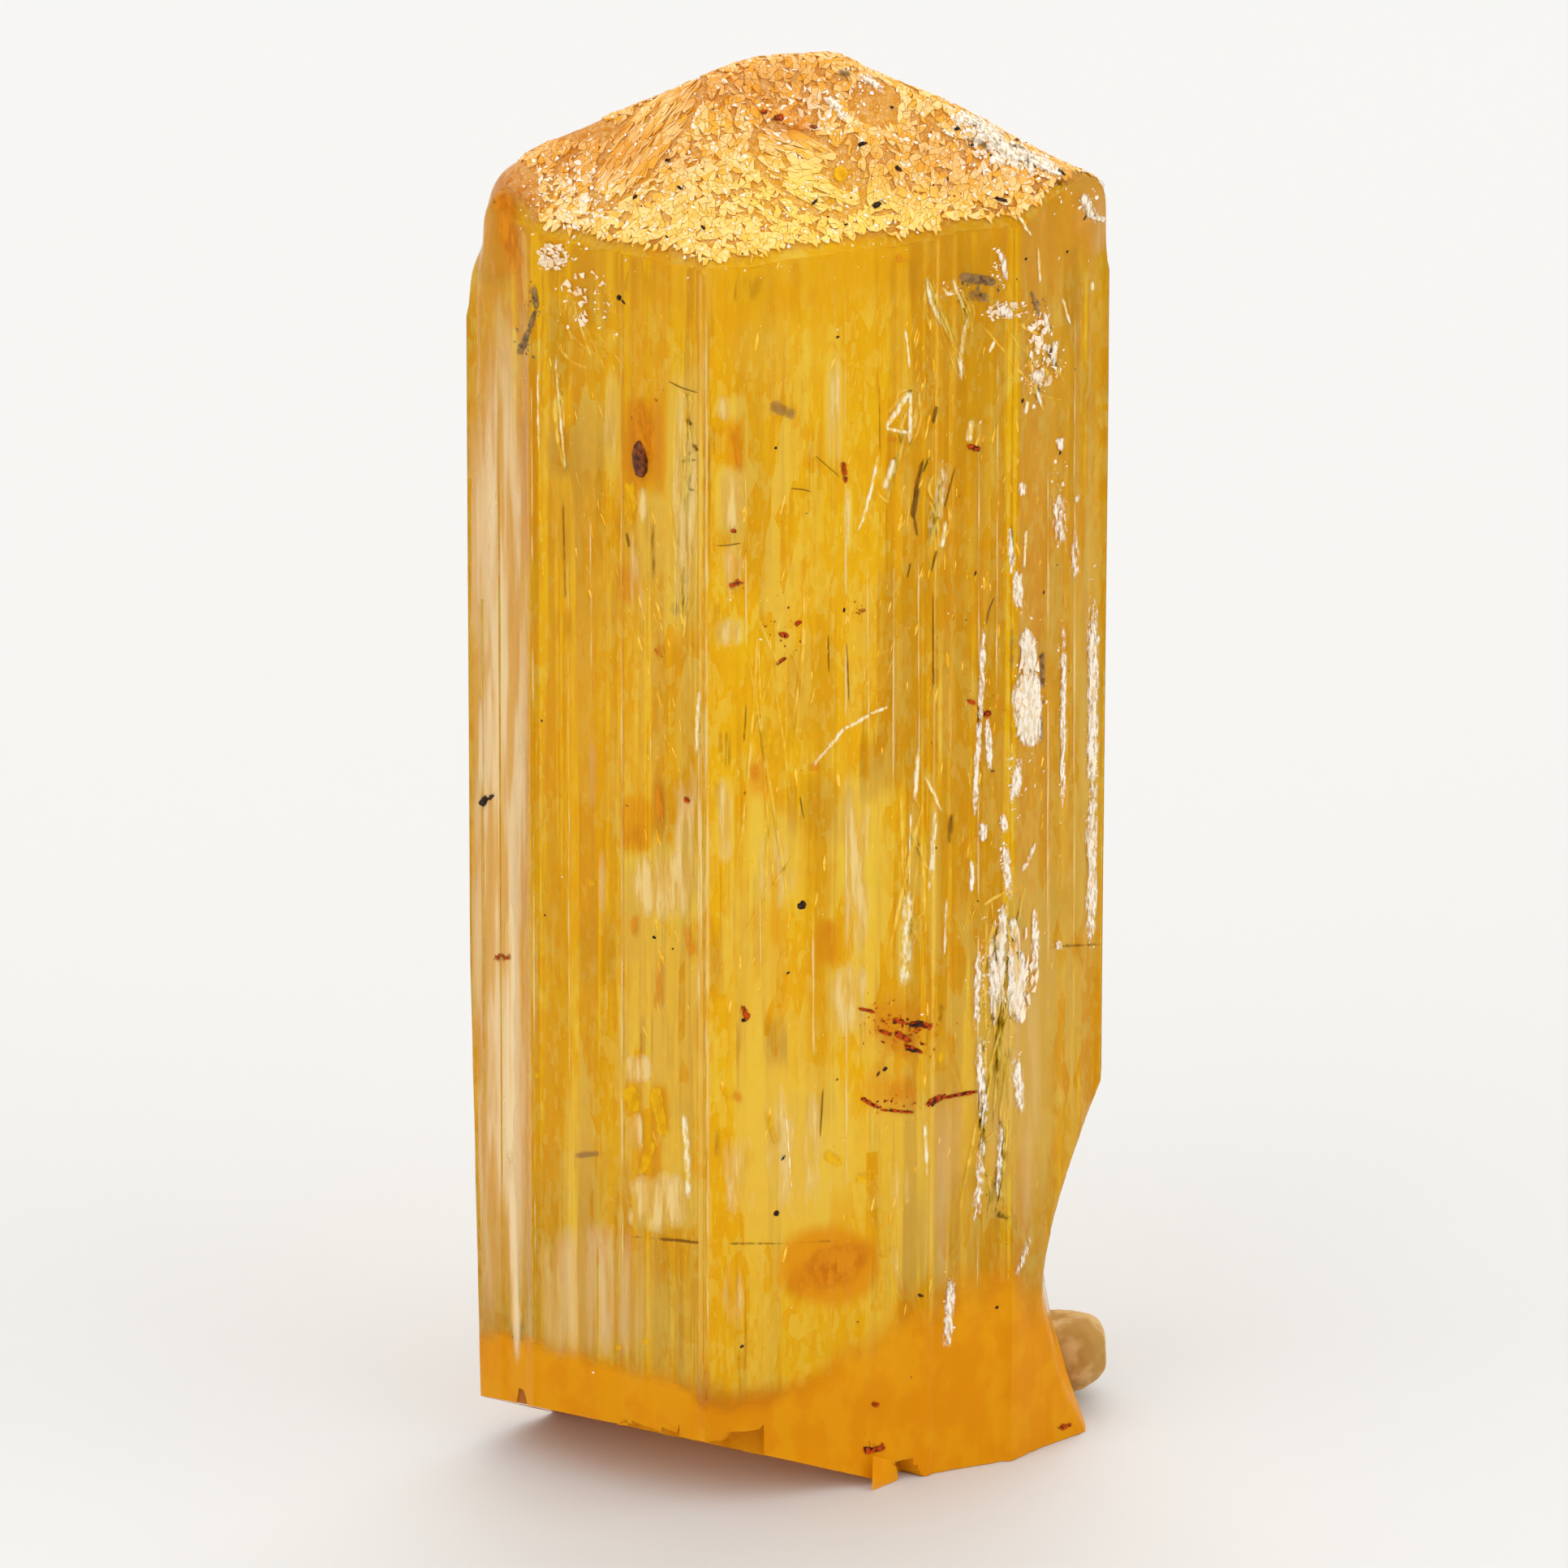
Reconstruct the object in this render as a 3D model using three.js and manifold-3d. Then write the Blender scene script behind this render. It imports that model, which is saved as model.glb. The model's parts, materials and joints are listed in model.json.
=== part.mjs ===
// Topaz crystal, 40 mm tall: one striated prism with a low pyramid on top, broken across its base,
// and a crumb of pale matrix that still clings to its lower right corner.
//
// The axes are those of the crystal, in millimetres: X runs along b, Y along a and Z along c, with
// the front of the crystal towards -Y. Each face is a plane, given by the direction of its normal,
// which follows from the axial ratios of topaz, and by how far it grew from the axis.

import * as THREE from 'three';
import { mergeVertices } from 'three/addons/utils/BufferGeometryUtils.js';
import Module from 'manifold-3d';

const wasm = await Module();
wasm.setup();

// ---- Driving dimensions -------------------------------------------------------------------------

const A_TO_B = 0.528; // axial ratio a : b
const C_TO_B = 0.955; // axial ratio c : b

const PRISM_HEIGHT = 35.5; // from the cleaved base to the foot of the pyramid

// How far each prism face stands from the axis. k is the index of the face (1k0): 1 or 2.
const PRISM_FACES = [
  { side: 'front_left', k: 1, distance: 5.65 },
  { side: 'front_right', k: 1, distance: 4.01 },
  { side: 'front_right', k: 2, distance: 5.38 },
  { side: 'back_right', k: 2, distance: 6.9 },
  { side: 'back_right', k: 1, distance: 5.37 },
  { side: 'back_left', k: 1, distance: 4.29 },
  { side: 'back_left', k: 2, distance: 5.48 },
  { side: 'front_left', k: 2, distance: 6.79 },
];

const PYRAMID_L = 2; // the pyramid faces are (112) and its three partners

const BAND_WIDTH = { least: 0.28, most: 0.96 }; // width of a growth band on the prism
const BAND_DEPTH = { least: 0.03, most: 0.13 }; // how far a band lies under the face
const BAND_TILT = 0.05; // most difference in depth between the two sides of a band
const BAND_RISER = 0.07; // width of the slope between two bands
const EDGE_MARGIN = 0.12; // left flat at each end of a face, so its edges stay crisp

const BREAK_HEIGHT = 2.2; // the base is broken away this high under the front edge
const BREAK_REACH = 4.2; // and the break runs out this far behind that edge
const BREAK_TURN = 22; // degrees from the front to the left that the break faces
const STEP = { left: 2.2, right: 1.5, behind: 1.6, height: 2.1 }; // level step around the front edge

// The hollow at the lower right, seen from the front: it starts at the top point, is deepest at the
// waist and flares out again to the foot. The two guides bend the curve between top and waist.
const BITE = {
  top: new THREE.Vector2(9.1, 11.9),
  topGuide: new THREE.Vector2(8.25, 9.5),
  waistGuide: new THREE.Vector2(7.01, 7.0),
  waist: new THREE.Vector2(6.96, 4.5),
  footGuide: new THREE.Vector2(7.16, 2.25),
  foot: new THREE.Vector2(8.3, -0.3),
};
const BITE_TURN = 4; // degrees that the hollow runs off the a axis

const LEDGE_DROP = 1.25; // the shoulder ledge lies this far under the foot of the pyramid
const LEDGE_INSET = 0.46; // and cuts this far into the left corner
const LEDGE_TILT = 24; // degrees that the ledge leans outwards
const LEDGE_WALL_LEAN = 0.04; // slope of the wall above the ledge

const CORNER_WEAR_RISE = 0.35; // the upper left corner is worn down to this far above the pyramid's foot
const CORNER_WEAR_TILT = 48; // degrees between the worn plane and the base
const FLANK_WEAR_TOP = 14; // the left edge thins from this height down to the base
const FLANK_WEAR_SLOPE = 0.02;

const NOTCH_DEPTH = 1.2; // from front to back, about a point on the face
const FRONT_NOTCH = { along: 1.5, bottom: 0, width: 0.9, height: 0.55 };
const LEFT_NOTCH = { along: -5.22, bottom: 1.7, width: 0.5, height: 0.45 };

const MATRIX_CENTRE = new THREE.Vector3(7.22, 3.3, 1.28);
const MATRIX_HALF_SIZE = new THREE.Vector3(1.34, 1.25, 1.02);
const MATRIX_SQUARENESS = 3.2; // exponent of the superellipsoid: 2 is round, more is boxier
const MATRIX_LUMP = 0.05; // relief of its lumps, as a share of its radius
const MATRIX_WAVES = new THREE.Vector3(2.3, 2.9, 3.1); // lumps around each axis
const MATRIX_DETAIL = 6;

const GAP = 0.3; // clear space between the crystal and the matrix
const BLOCK = 90; // side of the blocks that cut the faces
const MERGE_TOLERANCE = 1e-4;

const TOPAZ_MATERIAL = { color: 0xe0a22c, roughness: 0.2, metalness: 0 };
const MATRIX_MATERIAL = { color: 0xbd9a68, roughness: 0.9, metalness: 0 };

// ---- Directions of the faces --------------------------------------------------------------------

const SIDE_SIGNS = {
  front_left: [-1, -1],
  front_right: [1, -1],
  back_right: [1, 1],
  back_left: [-1, 1],
};

// Outward normal, in the XY plane, of the prism face (1k0) on one side.
function prismNormal(side, k) {
  const [signX, signY] = SIDE_SIGNS[side];
  return new THREE.Vector2(signX * k, signY / A_TO_B).normalize();
}

// Rise of a pyramid face (11l) for each millimetre inwards from the prism face under it.
function pyramidSlope(l) {
  return (C_TO_B / l) * Math.hypot(1, 1 / A_TO_B);
}

// Repeatable value between two limits for each number n.
function scatter(n, least, most) {
  const value = Math.sin(n * 127.1 + 311.7) * 43758.5453;
  return least + (most - least) * (value - Math.floor(value));
}

// ---- Manifold helpers ---------------------------------------------------------------------------

function solidOf(geometry) {
  const bare = geometry.clone();
  bare.deleteAttribute('normal');
  bare.deleteAttribute('uv');
  const merged = mergeVertices(bare, MERGE_TOLERANCE);
  const vertProperties = new Float32Array(merged.attributes.position.array);
  const triVerts = new Uint32Array(merged.index.array);
  return new wasm.Manifold(new wasm.Mesh({ numProp: 3, vertProperties, triVerts }));
}

function geometryOf(solid) {
  const mesh = solid.getMesh();
  const geometry = new THREE.BufferGeometry();
  geometry.setAttribute('position', new THREE.BufferAttribute(mesh.vertProperties, 3));
  geometry.setIndex(new THREE.BufferAttribute(mesh.triVerts, 1));
  geometry.computeVertexNormals();
  return geometry;
}

// A block whose flat side passes through a point and which fills everything beyond it.
function blockBeyond(point, outward) {
  const geometry = new THREE.BoxGeometry(BLOCK, BLOCK, BLOCK);
  geometry.translate(0, 0, BLOCK / 2);
  const turn = new THREE.Quaternion();
  turn.setFromUnitVectors(new THREE.Vector3(0, 0, 1), outward.clone().normalize());
  geometry.applyQuaternion(turn);
  geometry.translate(point.x, point.y, point.z);
  return solidOf(geometry);
}

// ---- Prism --------------------------------------------------------------------------------------

// Corner where two lines meet, each given by its normal and its distance from the axis.
function cornerOf(first, second) {
  const cross = first.normal.cross(second.normal);
  const x = (first.distance * second.normal.y - second.distance * first.normal.y) / cross;
  const y = (second.distance * first.normal.x - first.distance * second.normal.x) / cross;
  return new THREE.Vector2(x, y);
}

// Cross-section of the prism as lines, grown outwards by a margin.
function prismLines(margin) {
  return PRISM_FACES.map(({ side, k, distance }) => ({
    normal: prismNormal(side, k),
    distance: distance + margin,
  }));
}

function prismCorners(lines) {
  return lines.map((line, i) => cornerOf(lines[(i + lines.length - 1) % lines.length], line));
}

// Growth bands along one face: long flats at slightly different depths and tilts, with short risers.
function bandedEdge(start, end, normal, seed) {
  const along = end.clone().sub(start);
  const length = along.length();
  along.normalize();
  const place = (distance, depth) =>
    start.clone().addScaledVector(along, distance).addScaledVector(normal, -depth);
  const points = [start.clone()];
  let from = EDGE_MARGIN;
  let band = seed;
  while (from < length - EDGE_MARGIN - BAND_WIDTH.least) {
    const width = scatter(band, BAND_WIDTH.least, BAND_WIDTH.most);
    const to = Math.min(from + width, length - EDGE_MARGIN);
    const depth = scatter(band + 0.37, BAND_DEPTH.least, BAND_DEPTH.most);
    const tilt = scatter(band + 0.71, -BAND_TILT / 2, BAND_TILT / 2);
    points.push(place(from + BAND_RISER, depth + tilt));
    points.push(place(to - BAND_RISER, depth - tilt));
    from = to;
    band += 1;
  }
  return points;
}

function prismOutline() {
  const lines = prismLines(0);
  const corners = prismCorners(lines);
  const points = [];
  lines.forEach((line, i) => {
    const end = corners[(i + 1) % corners.length];
    points.push(...bandedEdge(corners[i], end, line.normal, 100 * i));
  });
  return new THREE.Shape(points);
}

function extrudeUp(shape, height) {
  return solidOf(new THREE.ExtrudeGeometry(shape, { depth: height, bevelEnabled: false }));
}

// ---- Pyramid ------------------------------------------------------------------------------------

// Cuts the four pyramid faces. Each meets the (110) face under it in a level edge.
function withPyramid(prism) {
  const slope = pyramidSlope(PYRAMID_L);
  return PRISM_FACES.filter(({ k }) => k === 1).reduce((solid, { side, k, distance }) => {
    const flat = prismNormal(side, k);
    const foot = new THREE.Vector3(flat.x * distance, flat.y * distance, PRISM_HEIGHT);
    const outward = new THREE.Vector3(flat.x * slope, flat.y * slope, 1);
    return solid.subtract(blockBeyond(foot, outward));
  }, prism);
}

// ---- Damage -------------------------------------------------------------------------------------

function faceDistance(side, k) {
  return PRISM_FACES.find((face) => face.side === side && face.k === k).distance;
}

// The front vertical edge of the prism, seen from above.
function frontEdge() {
  return prismCorners(prismLines(0)).reduce((a, b) => (b.y < a.y ? b : a));
}

// The base was broken away under the front left of the crystal, in one sloping plane.
function baseBreak() {
  const turn = THREE.MathUtils.degToRad(BREAK_TURN);
  const flat = new THREE.Vector2(-Math.sin(turn), -Math.cos(turn));
  const edge = frontEdge();
  const point = new THREE.Vector3(edge.x, edge.y, BREAK_HEIGHT);
  const tilt = BREAK_HEIGHT / BREAK_REACH;
  return blockBeyond(point, new THREE.Vector3(flat.x * tilt, flat.y * tilt, -1));
}

// A small level step where the break ran along the cleavage for a while, around the front edge.
function baseStep() {
  const edge = frontEdge();
  const geometry = new THREE.BoxGeometry(STEP.left + STEP.right, 2 * STEP.behind, 2 * STEP.height);
  geometry.translate((STEP.right - STEP.left) / 2 + edge.x, edge.y, 0);
  return solidOf(geometry);
}

// The hollow at the lower right, run through the crystal along the a axis.
function lowerRightBite() {
  const profile = new THREE.Shape();
  const { top, topGuide, waistGuide, waist, footGuide, foot } = BITE;
  profile.moveTo(top.x, top.y);
  profile.bezierCurveTo(topGuide.x, topGuide.y, waistGuide.x, waistGuide.y, waist.x, waist.y);
  profile.quadraticCurveTo(footGuide.x, footGuide.y, foot.x, foot.y);
  profile.lineTo(BLOCK / 2, foot.y);
  profile.lineTo(BLOCK / 2, top.y);
  const depth = BLOCK;
  const geometry = new THREE.ExtrudeGeometry(profile, { depth, bevelEnabled: false, curveSegments: 14 });
  geometry.translate(0, 0, -depth / 2);
  geometry.rotateX(Math.PI / 2);
  geometry.rotateZ(THREE.MathUtils.degToRad(BITE_TURN));
  return solidOf(geometry);
}

// The ledge on the left corner, just under the pyramid.
function shoulderLedge(corner) {
  const tilt = THREE.MathUtils.degToRad(LEDGE_TILT);
  const point = new THREE.Vector3(corner.x + LEDGE_INSET, 0, PRISM_HEIGHT - LEDGE_DROP);
  const beyondWall = blockBeyond(point, new THREE.Vector3(-1, 0, LEDGE_WALL_LEAN));
  const aboveLedge = blockBeyond(point, new THREE.Vector3(-Math.sin(tilt), 0, Math.cos(tilt)));
  return beyondWall.intersect(aboveLedge);
}

// The upper left corner is worn off in a slanting plane.
function cornerWear(corner) {
  const tilt = THREE.MathUtils.degToRad(CORNER_WEAR_TILT);
  const point = new THREE.Vector3(corner.x + LEDGE_INSET, corner.y, PRISM_HEIGHT + CORNER_WEAR_RISE);
  return blockBeyond(point, new THREE.Vector3(-Math.sin(tilt), 0, Math.cos(tilt)));
}

// The left edge thins a little towards the base.
function flankWear(corner) {
  const point = new THREE.Vector3(corner.x, corner.y, FLANK_WEAR_TOP);
  return blockBeyond(point, new THREE.Vector3(-1, 0, -FLANK_WEAR_SLOPE));
}

// A small nick in the lower edge of a front face: one side upright, the other slanting.
// It starts a distance along the face and opens away from there.
function edgeNotch(side, { along, bottom, width, height }) {
  const flat = prismNormal(side, 1);
  const tangent = new THREE.Vector2(-flat.y, flat.x);
  const distance = faceDistance(side, 1);
  const shape = new THREE.Shape();
  shape.moveTo(0, -height);
  shape.lineTo(width * 1.3, -height);
  shape.lineTo(width * 0.5, height);
  shape.lineTo(0, height);
  const geometry = new THREE.ExtrudeGeometry(shape, { depth: NOTCH_DEPTH, bevelEnabled: false });
  geometry.translate(0, 0, -NOTCH_DEPTH / 2);
  geometry.rotateX(Math.PI / 2);
  geometry.rotateZ(Math.atan2(tangent.y, tangent.x));
  geometry.translate(
    flat.x * distance + tangent.x * along,
    flat.y * distance + tangent.y * along,
    bottom,
  );
  return solidOf(geometry);
}

// ---- Pieces -------------------------------------------------------------------------------------

function crystalSolid() {
  const corners = prismCorners(prismLines(0));
  const leftCorner = corners.reduce((a, b) => (b.x < a.x ? b : a));
  const roughHeight = PRISM_HEIGHT * 1.3; // the pyramid faces cut it down
  return withPyramid(extrudeUp(prismOutline(), roughHeight))
    .subtract(baseBreak())
    .subtract(baseStep())
    .subtract(lowerRightBite())
    .subtract(shoulderLedge(leftCorner))
    .subtract(cornerWear(leftCorner))
    .subtract(flankWear(leftCorner))
    .subtract(edgeNotch('front_right', FRONT_NOTCH))
    .subtract(edgeNotch('front_left', LEFT_NOTCH));
}

// Radius of the lump in one direction: a rounded block with shallow waves over it.
function matrixRadius(direction) {
  const { x, y, z } = direction;
  const power = MATRIX_SQUARENESS;
  const norm = Math.abs(x) ** power + Math.abs(y) ** power + Math.abs(z) ** power;
  const across = Math.sin(MATRIX_WAVES.x * x + 1) * Math.cos(MATRIX_WAVES.y * y);
  const along = Math.sin(MATRIX_WAVES.z * z + 2 * x);
  return (1 + MATRIX_LUMP * (across + along)) / norm ** (1 / power);
}

// A lump of matrix, cut to lie against the back right face.
function matrixSolid() {
  const geometry = new THREE.IcosahedronGeometry(1, MATRIX_DETAIL);
  const position = geometry.attributes.position;
  const p = new THREE.Vector3();
  for (let i = 0; i < position.count; i += 1) {
    p.fromBufferAttribute(position, i);
    p.multiplyScalar(matrixRadius(p)).multiply(MATRIX_HALF_SIZE).add(MATRIX_CENTRE);
    position.setXYZ(i, p.x, p.y, p.z);
  }
  const clearance = extrudeUp(new THREE.Shape(prismCorners(prismLines(GAP))), PRISM_HEIGHT);
  return solidOf(geometry).subtract(clearance);
}

function piece(name, solid, look) {
  const mesh = new THREE.Mesh(geometryOf(solid), new THREE.MeshStandardMaterial(look));
  mesh.name = name;
  return mesh;
}

// Puts the origin under the middle of the whole, on the level that it rests on.
function standOnOrigin(group) {
  const box = new THREE.Box3().setFromObject(group);
  const centre = box.getCenter(new THREE.Vector3());
  group.position.set(-centre.x, -centre.y, -box.min.z);
}

const specimen = new THREE.Group();
specimen.add(piece('topaz_crystal', crystalSolid(), TOPAZ_MATERIAL));
specimen.add(piece('matrix_crumb', matrixSolid(), MATRIX_MATERIAL));
standOnOrigin(specimen);

export default specimen;
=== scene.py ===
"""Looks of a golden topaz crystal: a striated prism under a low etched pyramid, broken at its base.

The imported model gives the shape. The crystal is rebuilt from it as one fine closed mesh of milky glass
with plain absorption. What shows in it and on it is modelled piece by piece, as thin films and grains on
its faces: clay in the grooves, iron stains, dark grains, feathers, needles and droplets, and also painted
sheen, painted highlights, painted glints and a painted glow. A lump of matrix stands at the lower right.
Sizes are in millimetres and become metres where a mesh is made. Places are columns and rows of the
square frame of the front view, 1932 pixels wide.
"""

import json
import logging
import math
import random
from dataclasses import dataclass
from enum import Enum

import bmesh
import bpy
import numpy as np
from mathutils import Matrix, Vector
from mathutils.bvhtree import BVHTree

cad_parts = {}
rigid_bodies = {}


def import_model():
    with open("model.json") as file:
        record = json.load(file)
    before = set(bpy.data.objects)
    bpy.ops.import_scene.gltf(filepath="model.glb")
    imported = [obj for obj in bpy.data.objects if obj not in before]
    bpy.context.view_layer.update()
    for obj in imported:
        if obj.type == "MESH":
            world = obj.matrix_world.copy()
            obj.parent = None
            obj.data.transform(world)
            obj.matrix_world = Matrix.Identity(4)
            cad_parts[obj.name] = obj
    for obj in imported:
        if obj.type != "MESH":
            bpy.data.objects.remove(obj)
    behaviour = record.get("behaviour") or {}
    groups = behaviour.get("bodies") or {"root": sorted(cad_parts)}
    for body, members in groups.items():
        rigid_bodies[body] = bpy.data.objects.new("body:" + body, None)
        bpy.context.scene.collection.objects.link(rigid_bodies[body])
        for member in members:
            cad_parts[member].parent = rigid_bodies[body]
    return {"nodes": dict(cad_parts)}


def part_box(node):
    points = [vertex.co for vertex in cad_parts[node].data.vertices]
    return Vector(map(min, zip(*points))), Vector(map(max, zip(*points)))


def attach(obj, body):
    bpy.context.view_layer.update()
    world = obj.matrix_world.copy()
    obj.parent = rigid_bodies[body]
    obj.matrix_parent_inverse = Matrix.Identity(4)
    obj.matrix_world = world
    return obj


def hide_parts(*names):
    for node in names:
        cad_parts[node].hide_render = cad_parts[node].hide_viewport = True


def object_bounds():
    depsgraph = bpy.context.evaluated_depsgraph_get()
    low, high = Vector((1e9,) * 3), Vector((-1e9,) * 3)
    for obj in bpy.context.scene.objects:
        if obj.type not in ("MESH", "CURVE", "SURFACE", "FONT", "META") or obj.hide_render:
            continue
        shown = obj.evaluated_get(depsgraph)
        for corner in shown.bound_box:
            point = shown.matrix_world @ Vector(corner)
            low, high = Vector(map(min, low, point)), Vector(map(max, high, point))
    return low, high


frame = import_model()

LOG = logging.getLogger("topaz")
MM = 0.001  # metres in a millimetre
FAR = 60.0  # millimetres: outside the specimen, wherever a ray starts
PIXELS_A_MILLIMETRE = 46.0  # of the frame, at the crystal
PLATES_HEIGHT = 0.09  # millimetres from the roof's glass to the top of its plates
ROOF_SLOPE = 0.45  # rise of the normal above which a face belongs to the roof
CAD_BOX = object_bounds()
BOX_SLACK = 1e-7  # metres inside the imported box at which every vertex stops
GRAIN_BUMP = 0.00003  # metres that the relief of a bump stands for
BODY_ROWS = (380, 1600)  # rows of the frame over which streaks are spread on the other sides
BLOCK_ROWS = (380, 1640)  # and growth blocks
GRAIN_ROWS = (120, 1780)  # and grains

Pair = tuple[float, float]
Colour = tuple[float, float, float, float]


# ---- Numbers ----


def smoothstep(low: float, high: float, value: np.ndarray) -> np.ndarray:
    """Ease from 0 at low to 1 at high.

    Args:
        low: value at which the result leaves 0.
        high: value at which the result reaches 1.
        value: one number or an array of them.

    Returns:
        The eased share, of the shape of value.
    """
    share = np.clip((value - low) / (high - low), 0.0, 1.0)
    return share * share * (3.0 - 2.0 * share)


def hashed(x: np.ndarray, y: np.ndarray, seed: int) -> np.ndarray:
    """Repeatable value from 0 to 1 for each pair of whole numbers.

    Args:
        x: first whole numbers.
        y: second whole numbers.
        seed: number of the pattern.

    Returns:
        One value for each pair.
    """
    value = np.sin(x * 127.1 + y * 311.7 + seed * 74.7) * 43758.5453
    return value - np.floor(value)


def value_noise(x: np.ndarray, y: np.ndarray, seed: int) -> np.ndarray:
    """Smooth noise from 0 to 1 over a plane, with one knot at each whole number.

    Args:
        x: first coordinates.
        y: second coordinates.
        seed: number of the pattern.

    Returns:
        The noise at each place.
    """
    x0, y0 = np.floor(x), np.floor(y)
    u, v = smoothstep(0, 1, x - x0), smoothstep(0, 1, y - y0)
    low = hashed(x0, y0, seed) * (1 - u) + hashed(x0 + 1, y0, seed) * u
    high = hashed(x0, y0 + 1, seed) * (1 - u) + hashed(x0 + 1, y0 + 1, seed) * u
    return low * (1 - v) + high * v


# ---- Viewpoint ----


class Side(Enum):
    """Sides that things are placed from; the value is the azimuth of the view, in degrees."""

    FRONT = 4.4
    RIGHT = 94.0
    BACK = 184.0
    LEFT = 274.0

    @property
    def reach(self) -> float:
        """Return half the crystal's width as that side shows it, in the frame's pixels."""
        return 370.0 if self in (Side.FRONT, Side.BACK) else 215.0

    def place(self, draw: random.Random, low: float, high: float) -> Pair:
        """Return a random place of the side's frame, between two rows."""
        middle = Viewpoint.target_column
        return draw.uniform(middle - self.reach, middle + self.reach), draw.uniform(low, high)


@dataclass(frozen=True)
class Viewpoint:
    """Camera of the front view, and the line of sight through any place of its square frame."""

    azimuth: float = 4.4
    elevation: float = 22.2
    roll: float = 0.15
    distance: float = 430.0
    target_height: float = 19.0
    frame_side: float = 1932.0
    target_column: float = 973.0
    target_row: float = 970.0
    focal: float = 19823.0
    sensor: float = 36.0

    def axes(self) -> tuple[Vector, Vector, Vector]:
        """Return the unit vectors to the right, up and forward of the view.

        Returns:
            The three vectors.
        """
        turn, rise = math.radians(self.azimuth), math.radians(self.elevation)
        flat = math.cos(rise)
        forward = Vector((-math.sin(turn) * flat, math.cos(turn) * flat, -math.sin(rise)))
        level = Vector((math.cos(turn), math.sin(turn), 0.0))
        upright = level.cross(forward)
        tilt = math.radians(self.roll)
        right = level * math.cos(tilt) + upright * math.sin(tilt)
        return right, right.cross(forward), forward

    def eye(self) -> Vector:
        """Return the place of the camera, in millimetres."""
        return Vector((0, 0, self.target_height)) - self.axes()[2] * self.distance

    def sight(self, column: float, row: float) -> Vector:
        """Return the direction of sight through one place of the frame, in its pixels.

        Args:
            column: the place's column.
            row: the place's row.

        Returns:
            A unit vector, away from the camera.
        """
        right, up, forward = self.axes()
        across = (column - self.target_column) / self.focal
        down = (row - self.target_row) / self.focal
        return (forward + right * across - up * down).normalized()

    def frame_place(self, points: np.ndarray) -> np.ndarray:
        """Return the column and row at which each point is seen.

        Args:
            points: points x 3, in millimetres.

        Returns:
            Points x 2, in the frame's pixels.
        """
        right, up, forward = (np.array(axis) for axis in self.axes())
        away = points - np.array(self.eye())
        scale = self.focal / (away @ forward)
        column = self.target_column + (away @ right) * scale
        row = self.target_row - (away @ up) * scale
        return np.stack([column, row], axis=-1)

    def build(self) -> bpy.types.Object:
        """Make the camera.

        Returns:
            The camera, already the scene's own.
        """
        data = bpy.data.cameras.new("front_view")
        data.sensor_width = self.sensor
        data.lens = self.focal / self.frame_side * self.sensor
        data.shift_x = (self.frame_side / 2 - self.target_column) / self.frame_side
        data.shift_y = (self.target_row - self.frame_side / 2) / self.frame_side
        data.clip_start, data.clip_end = 0.01, 50.0
        camera = bpy.data.objects.new("front_view", data)
        right, up, forward = self.axes()
        turn = Matrix((right, up, -forward)).transposed().to_4x4()
        camera.matrix_world = Matrix.Translation(self.eye() * MM) @ turn
        bpy.context.scene.collection.objects.link(camera)
        bpy.context.scene.camera = camera
        return camera


# ---- Wiring of materials ----


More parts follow.
